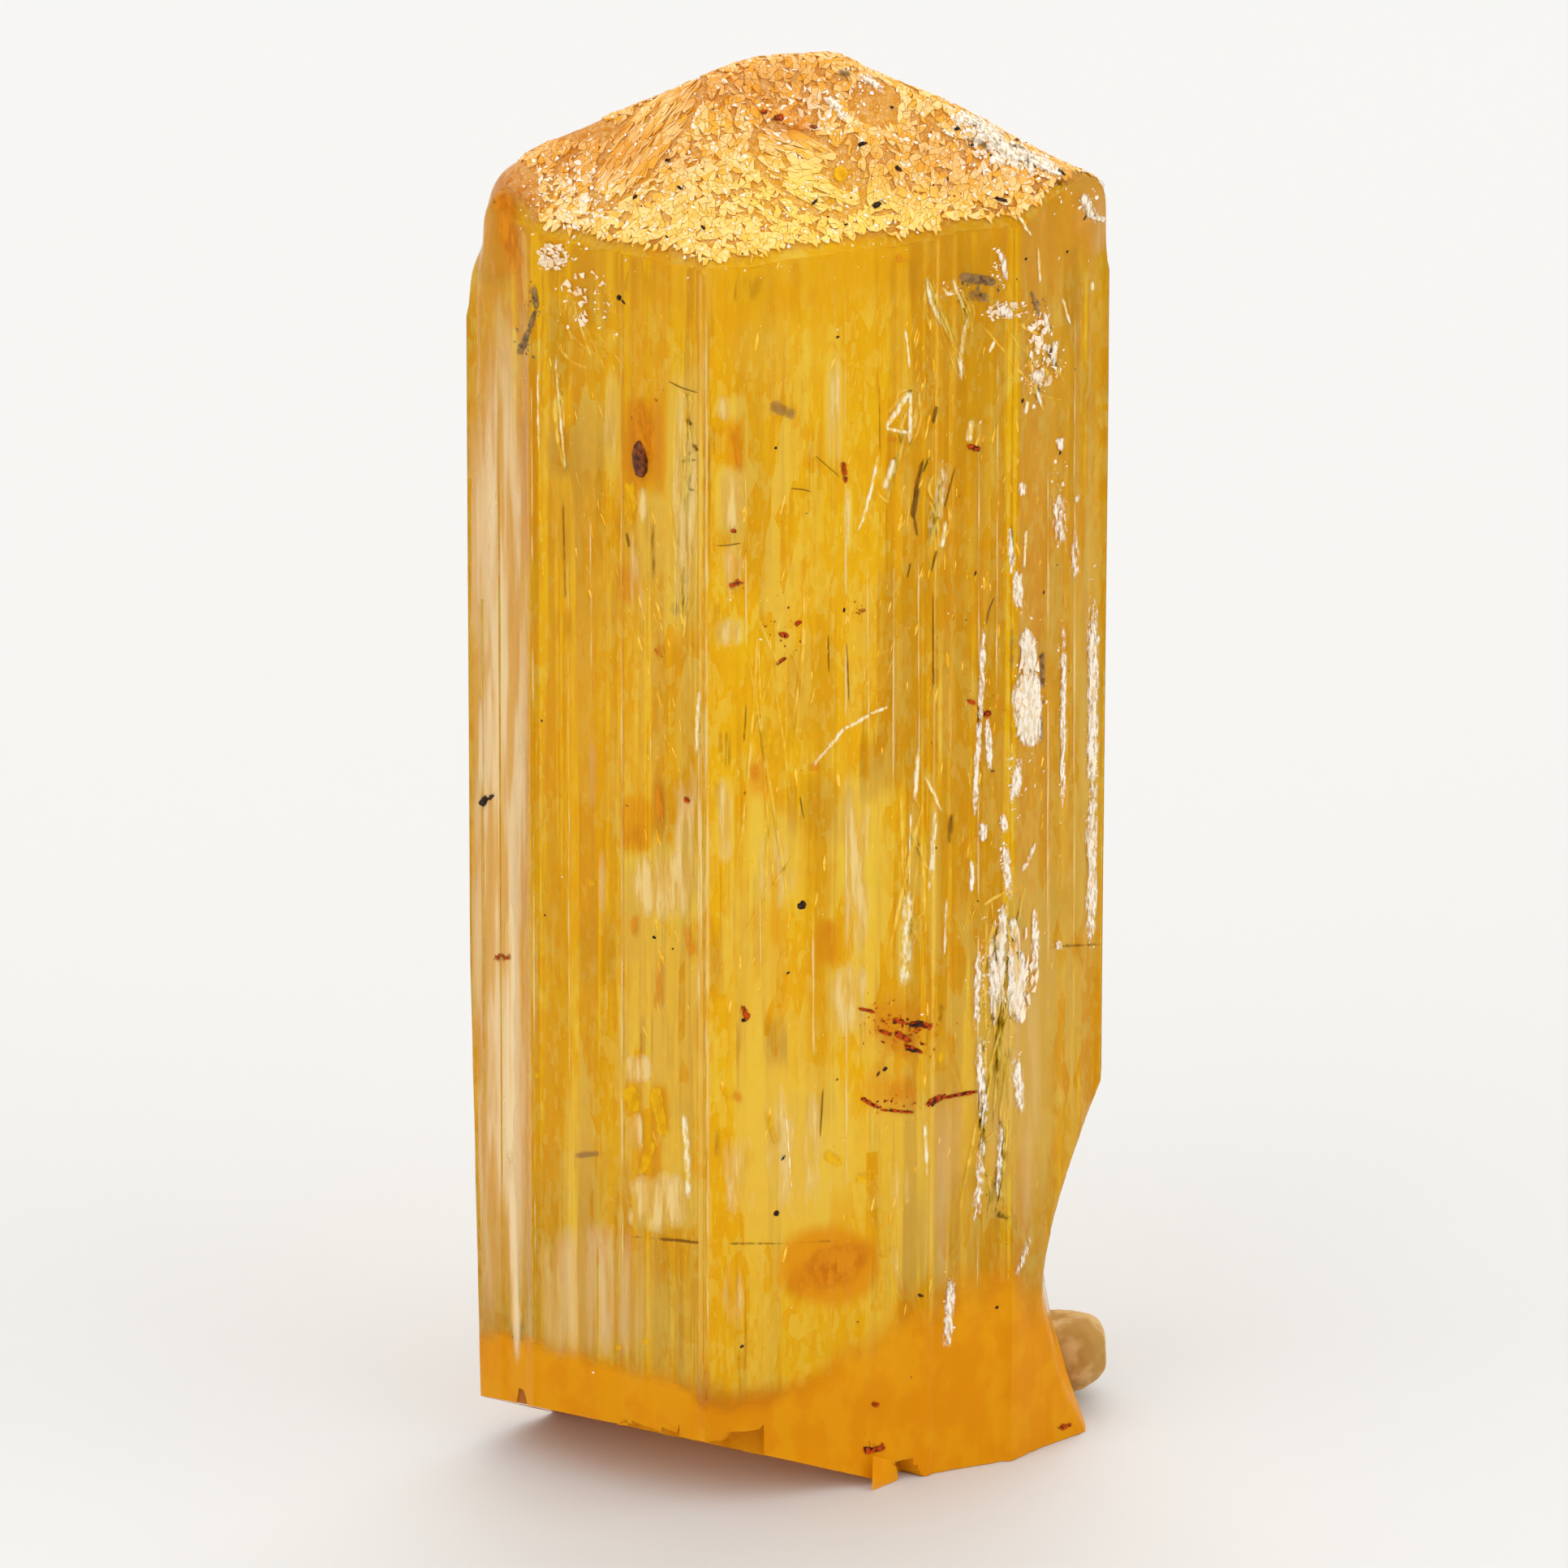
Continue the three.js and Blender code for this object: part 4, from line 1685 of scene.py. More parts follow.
@dataclass
class PaleWindowsAndLight(Deposit):
    """Pale milky windows with straight sides, where growth blocks end at the faces; their paleness also
    paints the light that comes through from the back faces.
    """

    name: str = "pale_windows"
    slot: str = "inclusion"
    spread: int = 11
    spread_width: Pair = (0.3, 1.6)
    finish: StoneFinish = StoneFinish(
        "window", linear(246, 200, 104), linear(255, 226, 150), 0.45,
        size=0.22, stretch=8.0, opacity=0.7, torn=1.0, fade=(0.1, 1.2),
    )
    sides: float = 6.0
    ends: float = 2.6
    lift: float = 0.016
    smears: tuple[Smear, ...] = strokes(
        block_818=(818, 1044, 818, 1136, 2.1),
        block_812=(812, 1440, 812, 1520, 1.9),
        block_785=(785, 1296, 787, 1338, 1.0),
        block_783=(783, 1368, 783, 1424, 0.6),
        column_845=(845, 436, 845, 800, 0.85, 0.8),
        column_752=(752, 452, 752, 580, 0.42, 0.9),
        column_863=(863, 840, 863, 1280, 0.26, 0.9),
        column_845_low=(845, 930, 845, 1130, 0.8, 0.55),
        pane_893=(893, 484, 893, 520, 0.55, 0.8),
        pane_900=(900, 570, 900, 660, 0.85),
        pane_898=(898, 758, 898, 800, 0.85, 0.8),
        pane_898_mid=(900, 660, 902, 740, 0.8, 0.4),
        pane_893_low=(893, 952, 893, 1066, 0.55, 0.8),
        pane_950=(945, 1010, 960, 1120, 1.3, 0.55),
        pane_1055=(1055, 955, 1055, 1190, 0.85, 0.8),
        pane_1045=(1046, 1180, 1046, 1280, 1.2, 0.75),
        pane_1028=(1028, 428, 1028, 580, 0.55, 0.7),
        pane_1045_up=(1044, 600, 1044, 680, 0.24, 0.8),
        pane_985=(975, 1330, 985, 1505, 2.0, 0.6),
        pane_930=(905, 1390, 915, 1500, 1.0, 0.6),
        pane_1105=(1108, 1428, 1104, 1500, 0.9, 0.45),
        pane_900_foot=(900, 1545, 905, 1660, 0.7, 0.5),
        pane_1104_foot=(1100, 1530, 1108, 1604, 0.34, 0.7),
        pane_791=(791, 596, 791, 646, 0.34),
        pane_776=(776, 650, 790, 780, 0.5, 0.5),
    )


@dataclass
class Feathers(Deposit):
    """Thin bright feathers and partings, laid on the faces that show them."""

    name: str = "feathers"
    slot: str = "inclusion"
    finish: StoneFinish = StoneFinish(
        "feather", linear(255, 222, 122), linear(255, 246, 210), 0.3,
        size=0.1, stretch=3.0, opacity=0.8, torn=0.9, fade=(0.1, 1.1),
    )
    cell: float = 0.08
    lift: float = 0.03
    spread: int = 14
    spread_width: Pair = (0.06, 0.3)
    smears: tuple[Smear, ...] = strokes(
        comb_1=(1141, 340, 1160, 402, 0.16, 1, 0.06),
        comb_2=(1174, 343, 1194, 388, 0.14, 1, 0.05),
        comb_3=(1195, 384, 1184, 470, 0.2, 0.8, 0.1),
        hair_1115=(1115, 405, 1121, 455, 0.1),
        sail_left=(1122, 480, 1091, 528, 0.24),
        sail_right=(1122, 478, 1120, 548, 0.16),
        sail_foot=(1090, 527, 1120, 533, 0.16),
        streak_1080=(1081, 560, 1057, 655, 0.14, 1, -0.06),
        blob_1100=(1104, 564, 1089, 604, 0.3),
        long_1150=(1162, 560, 1145, 660, 0.46, 0.55, -0.1),
        long_1163=(1165, 640, 1160, 676, 0.16),
        flame_1196=(1197, 516, 1193, 546, 0.28),
        line_1262=(1264, 652, 1261, 700, 0.1),
        hair_685=(685, 438, 698, 582, 0.12, 1, 0.02),
        hair_663=(663, 450, 664, 560, 0.07, 0.7),
        pink_1=(1096, 870, 1070, 880, 0.14),
        pink_2=(1072, 879, 1038, 898, 0.15, 1, -0.03),
        pink_3=(1040, 896, 1020, 922, 0.15),
        pink_4=(1022, 918, 998, 948, 0.12, 0.7),
        flake_1130=(1131, 920, 1127, 990, 0.2),
        flake_1142=(1139, 955, 1160, 1000, 0.14),
        line_1121=(1122, 1000, 1120, 1095, 0.09),
        line_1148=(1153, 990, 1145, 1100, 0.2, 0.7),
        lens_1116=(1119, 1095, 1114, 1216, 0.4),
        line_1165=(1166, 1100, 1163, 1180, 0.12, 0.7),
        line_975=(968, 1370, 975, 1470, 0.07),
        white_845=(843, 1368, 850, 1480, 0.24),
        white_861=(862, 850, 859, 932, 0.18),
        line_1138=(1139, 1380, 1142, 1450, 0.16, 0.8),
        corner_1=(1250, 265, 1272, 292, 0.1),
        corner_2=(1278, 300, 1281, 350, 0.07),
        corner_3=(1344, 345, 1345, 360, 0.14),
        breccia_1=(1160, 352, 1170, 366, 0.12),
        breccia_2=(1217, 436, 1226, 418, 0.14),
        breccia_3=(1308, 365, 1318, 400, 0.1),
        breccia_4=(1262, 512, 1266, 492, 0.14),
    )


def plume(name: str, first: Pair, last: Pair, half: float, count: int) -> list[Smear]:
    """Return the strands of one plume, which curve and cross on their way.

    Args:
        name: name of the plume.
        first: where it starts, in the frame's pixels.
        last: where it ends.
        half: how far its strands stray, in pixels.
        count: how many strands.

    Returns:
        The strands.
    """
    draw = random.Random(name)
    strands = []
    for _ in range(count):
        low, high = sorted(draw.uniform(0, 1) for _ in range(2))
        run = last[0] - first[0], last[1] - first[1]
        start = first[0] + run[0] * low + draw.gauss(0, half), first[1] + run[1] * low
        end = first[0] + run[0] * high + draw.gauss(0, half), first[1] + run[1] * high + 12
        width, bend = draw.uniform(0.05, 0.17), draw.gauss(0, 0.09)
        strands.append(Smear(start, end, width, draw.uniform(0.5, 1.0), bend))
    return strands


@dataclass
class Plumes(Deposit):
    """Fans of thin bright yellow strands, where the crystal parted and healed."""

    name: str = "plumes"
    slot: str = "inclusion"
    spread: int = 26
    spread_width: Pair = (0.05, 0.17)
    finish: StoneFinish = StoneFinish(
        "plume", linear(250, 192, 26), linear(255, 220, 96), 0.35,
        size=0.16, stretch=3.0, opacity=0.55, torn=0.7, fade=(0.05, 1.2),
    )
    cell: float = 0.08
    lift: float = 0.028
    smears: tuple[Smear, ...] = (
        *plume("right_curve", (1140, 335), (1192, 465), 7, 14),
        *plume("right_twin", (1172, 338), (1196, 400), 5, 8),
        *plume("left_chips", (696, 350), (745, 450), 16, 10),
        *plume("left_line", (684, 440), (700, 585), 4, 7),
        *plume("middle", (1125, 470), (1090, 620), 10, 12),
        *plume("long", (1165, 560), (1145, 690), 6, 9),
        *plume("breccia", (1255, 350), (1290, 500), 16, 9),
        *plume("column", (850, 440), (845, 780), 9, 18),
        *plume("low", (1130, 960), (1118, 1220), 12, 16),
        *plume("right_low", (1240, 1080), (1225, 1500), 20, 30),
        *plume("centre", (960, 700), (950, 1150), 30, 12),
    )


@dataclass
class GrowthLines(Deposit):
    """Fine pale lines along the height, where one growth face steps to the next."""

    name: str = "growth_lines"
    slot: str = "inclusion"
    spread: int = 12
    spread_width: Pair = (0.05, 0.12)
    spread_length: float = 400.0
    finish: StoneFinish = StoneFinish(
        "growth_line", linear(250, 204, 96), linear(255, 230, 160), 0.4,
        size=0.2, stretch=9.0, opacity=0.5, torn=1.4, fade=(0.1, 1.0),
    )
    lift: float = 0.024
    smears: tuple[Smear, ...] = strokes(
        edge_light=(869, 352, 871, 1690, 0.12, 1, 0, 0.1),
        line_655=(655, 440, 660, 1660, 0.08, 0.7),
        line_765=(766, 450, 768, 1660, 0.08, 0.7),
        line_1040=(1041, 350, 1043, 1690, 0.08, 0.7),
        line_1205=(1206, 400, 1204, 1690, 0.08, 0.6),
        line_1290=(1291, 330, 1290, 1300, 0.08, 0.6),
        line_1324=(1324, 300, 1322, 1260, 0.07, 0.6),
        line_918=(918, 570, 919, 800, 0.06),
        line_936=(935, 1040, 937, 1240, 0.06),
        line_1000=(1001, 1130, 1002, 1300, 0.1, 0.8),
        line_1068=(1068, 690, 1070, 900, 0.06),
        line_1100=(1101, 700, 1100, 1000, 0.07),
        line_1131=(1131, 680, 1132, 930, 0.07),
        line_1170=(1171, 880, 1170, 930, 0.12),
        line_1228=(1229, 430, 1227, 900, 0.06, 0.7),
        line_700=(700, 600, 703, 1500, 0.08, 0.6),
        line_728=(728, 620, 730, 900, 0.1, 0.7),
        line_800=(800, 620, 803, 1000, 0.07, 0.7),
    )


@dataclass
class Needles(Deposit):
    """Dark olive needles, hair cracks and the low level parting, laid on the faces that show them."""

    name: str = "needles"
    slot: str = "dark_mineral"
    finish: StoneFinish = StoneFinish(
        "needle", linear(84, 62, 16), linear(140, 98, 20), 0.6,
        size=0.12, stretch=3.0, opacity=0.66, torn=0.8, fade=(0.1, 1.0),
    )
    cell: float = 0.08
    lift: float = 0.034
    spread: int = 10
    spread_width: Pair = (0.04, 0.14)
    smears: tuple[Smear, ...] = strokes(
        main_top=(1138, 562, 1126, 612, 0.14),
        main=(1130, 598, 1124, 640, 0.26),
        main_low=(1125, 630, 1130, 662, 0.1),
        twin=(1146, 560, 1136, 584, 0.08),
        spindle=(1154, 498, 1149, 524, 0.14),
        hair_1170=(1177, 572, 1163, 628, 0.05),
        hair_1150=(1154, 676, 1147, 706, 0.07),
        hair_1120=(1122, 692, 1117, 714, 0.06),
        hair_1221=(1226, 734, 1215, 772, 0.06, 1, 0.05),
        leaf_1170=(1172, 1000, 1168, 1042, 0.2, 0.8),
        leaf_1155=(1160, 1235, 1157, 1260, 0.2, 0.5),
        line_1148=(1149, 725, 1150, 860, 0.06, 0.8),
        line_1045=(1043, 790, 1046, 870, 0.08, 0.7),
        line_1020=(1020, 780, 1021, 830, 0.06),
        hair_1083=(1083, 470, 1084, 560, 0.05, 0.6),
        arc_840=(822, 468, 862, 484, 0.05, 1, 0.04),
        tick_850=(846, 516, 854, 524, 0.12),
        tick_857=(853, 546, 861, 556, 0.13),
        tick_848=(838, 568, 860, 566, 0.08),
        tick_853=(848, 602, 857, 604, 0.09),
        hair_905=(880, 672, 915, 668, 0.05, 1, 0.03),
        hair_990=(972, 602, 1000, 606, 0.05, 1, -0.03),
        hair_1020=(1003, 560, 1035, 588, 0.04),
        hair_918=(920, 862, 916, 918, 0.09, 0.7),
        hair_985=(985, 980, 990, 1010, 0.05),
        hair_1012=(1014, 1338, 1010, 1402, 0.06),
        streak_772=(772, 654, 776, 676, 0.12, 0.8),
        streak_696=(694, 610, 697, 740, 0.08, 0.7),
        streak_800=(804, 640, 806, 720, 0.16, 0.45),
        parting_left=(810, 1526, 866, 1531, 0.18, 0.8, 0, 0.7),
        parting_far=(770, 1522, 812, 1526, 0.1, 0.35, 0, 0.7),
        parting_mid=(892, 1532, 976, 1532, 0.12, 0.55, 0, 0.8),
        parting_right=(976, 1531, 1040, 1528, 0.1, 0.35, 0, 0.8),
        notch_right=(1300, 1166, 1360, 1163, 0.1, 0.5),
    )


@dataclass
class GreySmudges(Deposit):
    """Soft grey-brown smudges and the dark fissure at the upper left."""

    name: str = "grey_smudges"
    slot: str = "dark_mineral"
    spread: int = 2
    spread_length: float = 40.0
    finish: StoneFinish = StoneFinish(
        "smudge", linear(96, 80, 64), linear(164, 130, 80), 0.8,
        size=0.3, opacity=0.7, torn=0.6, fade=(0.05, 1.1),
    )
    lift: float = 0.038
    smears: tuple[Smear, ...] = strokes(
        fissure_top=(657, 350, 662, 384, 0.26),
        fissure_mid=(661, 378, 652, 408, 0.24),
        fissure_low=(655, 402, 638, 440, 0.3, 0.9),
        smudge_right=(1180, 340, 1230, 348, 0.42, 0.9),
        smudge_fill=(1190, 362, 1220, 366, 0.5, 0.55),
        breccia_1=(1270, 356, 1280, 392, 0.14),
        breccia_2=(1291, 424, 1302, 456, 0.2),
        breccia_3=(1278, 474, 1280, 488, 0.12),
        patch_side=(1284, 800, 1284, 850, 0.2),
        patch_side_low=(1281, 880, 1283, 915, 0.14),
        olive_960=(945, 498, 982, 512, 0.5, 0.6),
        olive_820=(826, 740, 836, 760, 0.4, 0.35),
        chain_grey=(1246, 640, 1248, 700, 0.16, 0.7),
        chain_grey_low=(1247, 770, 1247, 830, 0.2, 0.45),
        left_724=(706, 1424, 742, 1421, 0.3, 0.55),
        knob_grey=(1030, 90, 1048, 94, 0.3, 0.75),
        roof_grey_1=(1192, 170, 1220, 186, 0.24, 0.7),
        roof_grey_2=(1236, 182, 1262, 186, 0.16, 0.7),
    )


@dataclass
class IronStains(Deposit):
    """Red-brown iron stains in cracks."""

    name: str = "iron_stains"
    slot: str = "iron_stain"
    finish: StoneFinish = StoneFinish(
        "iron", linear(100, 22, 4), linear(190, 72, 12), 0.7, size=0.12, torn=1.2, fade=(0.15, 0.8)
    )
    cell: float = 0.08
    lift: float = 0.044
    spread: int = 4
    spread_width: Pair = (0.05, 0.2)
    spread_length: float = 40.0
    smears: tuple[Smear, ...] = strokes(
        cluster_1=(1056, 1242, 1078, 1246, 0.12),
        cluster_2=(1098, 1256, 1116, 1260, 0.2),
        cluster_3=(1118, 1260, 1150, 1265, 0.26),
        cluster_4=(1100, 1270, 1124, 1284, 0.24),
        cluster_5=(1112, 1286, 1138, 1297, 0.18),
        cluster_6=(1080, 1268, 1100, 1276, 0.16, 0.8),
        crack_1=(1060, 1352, 1085, 1366, 0.16),
        crack_2=(1083, 1367, 1128, 1370, 0.12),
        crack_3=(1140, 1361, 1164, 1350, 0.28),
        crack_4=(1160, 1353, 1205, 1344, 0.14),
        dot_983=(978, 770, 988, 765, 0.16),
        dot_965=(958, 780, 973, 784, 0.24),
        dash_961=(954, 820, 970, 808, 0.14),
        dot_903=(899, 654, 908, 654, 0.18),
        dot_905=(896, 722, 914, 716, 0.3, 0.7),
        dot_1200=(1190, 548, 1210, 554, 0.26),
        dot_1216=(1210, 882, 1222, 876, 0.26),
        dot_1197=(1190, 862, 1203, 867, 0.16),
        dot_847=(842, 984, 852, 986, 0.2, 0.6),
        dot_918=(914, 1236, 922, 1258, 0.24, 0.7),
        dot_1040=(1038, 566, 1042, 596, 0.24, 0.8),
        dot_1061=(1054, 754, 1068, 752, 0.26, 0.6),
        left_624=(608, 1180, 632, 1178, 0.28, 0.6),
        droplet_940=(936, 140, 945, 141, 0.2, 0.9),
        droplet_958=(952, 146, 965, 148, 0.3, 0.9),
        foot_1075=(1062, 1788, 1092, 1783, 0.26),
        foot_1077=(1072, 1730, 1084, 1730, 0.2, 0.7),
        foot_1310=(1300, 1759, 1322, 1755, 0.24, 0.7),
    )


@dataclass
class RustHalos(Deposit):
    """Translucent orange halos around the stains, and the orange lens low in the crystal."""

    name: str = "rust_halos"
    slot: str = "iron_stain"
    spread: int = 5
    spread_width: Pair = (0.4, 1.3)
    spread_length: float = 60.0
    finish: StoneFinish = StoneFinish(
        "rust_halo", linear(222, 122, 4), linear(236, 150, 20), 0.6,
        size=0.3, stretch=2.5, opacity=0.75, torn=0.9, fade=(0.05, 1.1),
    )
    sides: float = 2.0
    ends: float = 2.6
    lift: float = 0.02
    smears: tuple[Smear, ...] = strokes(
        lens=(985, 1580, 1085, 1538, 1.5, 0.85),
        lens_left=(965, 1600, 1010, 1550, 0.9, 0.5),
        cluster=(1072, 1250, 1128, 1300, 1.1, 0.45),
        cluster_low=(1070, 1300, 1130, 1370, 1.0, 0.3),
        bubble_patch=(792, 486, 792, 600, 1.1, 0.7),
        amber_784=(784, 1005, 784, 1052, 0.8, 0.45),
        amber_813=(812, 960, 816, 1024, 0.34, 0.8),
        amber_810=(810, 1170, 812, 1255, 0.5, 0.7),
        amber_784_low=(784, 1124, 784, 1160, 0.45, 0.6),
        spot_811=(804, 798, 820, 806, 0.5, 0.6),
        spot_933=(925, 940, 940, 972, 0.5, 0.55),
        spot_1003=(992, 946, 1014, 944, 0.4, 0.6),
        block_1022=(1022, 1130, 1024, 1192, 0.7, 0.4),
        spot_904=(890, 1350, 920, 1352, 0.5, 0.6),
        spot_907=(901, 524, 914, 582, 0.26, 0.7),
        spot_1111=(1100, 318, 1122, 320, 0.34, 0.6),
        spot_1100=(1088, 540, 1114, 542, 0.28, 0.7),
        pink_851=(850, 1132, 852, 1184, 0.6, 0.45),
        corner=(618, 232, 636, 340, 0.75, 0.95),
        corner_low=(634, 330, 648, 400, 0.4, 0.5),
        vein_1330=(1329, 330, 1326, 560, 0.4, 0.35),
        knob_spot=(966, 158, 1000, 158, 0.6, 0.6),
    )


@dataclass
class YellowPatches(Deposit):
    """Small bright yellow patches and dots."""

    name: str = "yellow_patches"
    slot: str = "inclusion"
    spread: int = 6
    spread_width: Pair = (0.2, 0.7)
    spread_length: float = 60.0
    finish: StoneFinish = StoneFinish(
        "yellow", linear(240, 178, 4), linear(252, 198, 10), 0.4,
        size=0.2, stretch=2.0, opacity=0.65, torn=0.8, fade=(0.05, 0.9),
    )
    lift: float = 0.02
    smears: tuple[Smear, ...] = strokes(
        patch_778=(777, 1336, 779, 1374, 0.62),
        patch_813=(806, 1336, 820, 1402, 0.56),
        patch_798=(808, 1405, 788, 1448, 0.42),
        patch_776=(776, 588, 778, 650, 0.42, 0.9),
        dot_730=(727, 1084, 733, 1092, 0.26),
        dot_763=(758, 1659, 768, 1661, 0.26),
        dot_795=(790, 1652, 800, 1653, 0.24),
        dot_661=(658, 1322, 666, 1326, 0.3, 0.7),
        patch_948=(942, 1364, 956, 1412, 0.36, 0.7),
        patch_1020=(1012, 1420, 1040, 1436, 0.5, 0.7),
        patch_1066=(1052, 1456, 1078, 1442, 0.4, 0.7),
        roof_yellow=(1034, 204, 1036, 228, 0.5),
        patch_1160=(1158, 1255, 1160, 1320, 0.5, 0.5),
        patch_950=(938, 880, 960, 935, 1.2, 0.35),
    )


@dataclass
class FootBand:
    """Saturated orange stain all round the broken foot: one closed film over the sides.

    Each top is a direction in degrees from +X, the height of the stain there, and half its soft edge.
    """

    tops: tuple[tuple[float, float, float], ...] = (
        (-180, 2.6, 0.8),
        (-165, 3.7, 0.2),
        (-157, 3.75, 0.12),
        (-118, 3.7, 0.15),
        (-104, 3.1, 0.5),
        (-80, 3.2, 0.7),
        (-40, 5.0, 1.4),
        (-12, 5.4, 1.5),
        (10, 3.0, 1.2),
        (60, 1.2, 0.8),
        (120, 1.0, 0.6),
        (180, 2.6, 0.8),
    )
    finish: StoneFinish = StoneFinish(
        "foot", linear(244, 158, 0), linear(249, 170, 6), 0.5,
        size=0.9, stretch=1.5, opacity=0.68, torn=0.15, fade=(0.0, 1.0),
    )
    ragged: float = 0.35
    highest: float = 8.5
    lift: float = 0.008
    thickness: float = 0.03

    def cover(self, place: Vector) -> float:
        """Return how much of the stain lies at a place of the sides.

        Args:
            place: the place.

        Returns:
            A share from 0 to 1.
        """
        turn = math.degrees(math.atan2(place.y, place.x))
        directions, heights, softs = zip(*self.tops)
        soft = np.interp(turn, directions, softs)
        noise = value_noise(place.x * 1.3 + 9, place.y * 1.3 + 9, 51) - 0.5
        top = np.interp(turn, directions, heights) + noise * self.ragged * soft * 2
        return float(1 - smoothstep(top - soft, top + soft, place.z))

    def build(self, body: bpy.types.Object) -> bpy.types.Object:
        """Make the band.

        Args:
            body: the finished crystal.

        Returns:
            The film.
        """
        film = bmesh.new()
        film.from_mesh(body.data)
        bmesh.ops.scale(film, vec=(1 / MM,) * 3, verts=film.verts)
        cover = film.verts.layers.float.new("cover")
        base = film.verts.layers.float["base"]
        for vertex in film.verts:
            vertex[cover] = self.cover(vertex.co) if vertex.co.z < self.highest else 0.0
        kept = {v for v in film.verts if v[cover] > 0 and v[base] < 0.5}
        kept |= {edge.other_vert(vertex) for vertex in kept for edge in vertex.link_edges}
        lost = [v for v in film.verts if v not in kept or v[base] > 0.5]
        bmesh.ops.delete(film, geom=lost, context="VERTS")
        unpinch(film)
        for vertex in film.verts:
            vertex.co += vertex.normal * self.lift
        bmesh.ops.solidify(film, geom=film.faces[:], thickness=self.thickness)
        return finished(film, "foot_band", self.finish.material())


@dataclass(frozen=True)
class PlateField:
    """One field of plates: middle in the frame's pixels, half size and cell in millimetres."""

    name: str
    middle: Pair
    half: Pair
    cell: Pair
    turn: float = 0.0
    on_roof: bool = True
    round_off: bool = True
    lost: float = 0.04
    lift: float = 0.03

    def local(self, place: Vector, middle: Vector) -> Pair:
        """Return a place of the plan in the field's own directions, as shares of its half size.

        Args:
            place: the place.
            middle: the field's middle on the crystal.

        Returns:
            The two shares.
        """
        away = (place.xy - middle.xy).to_3d()
        away.rotate(Matrix.Rotation(-math.radians(self.turn), 3, "Z"))
        return away.x / self.half[0], away.y / self.half[1]


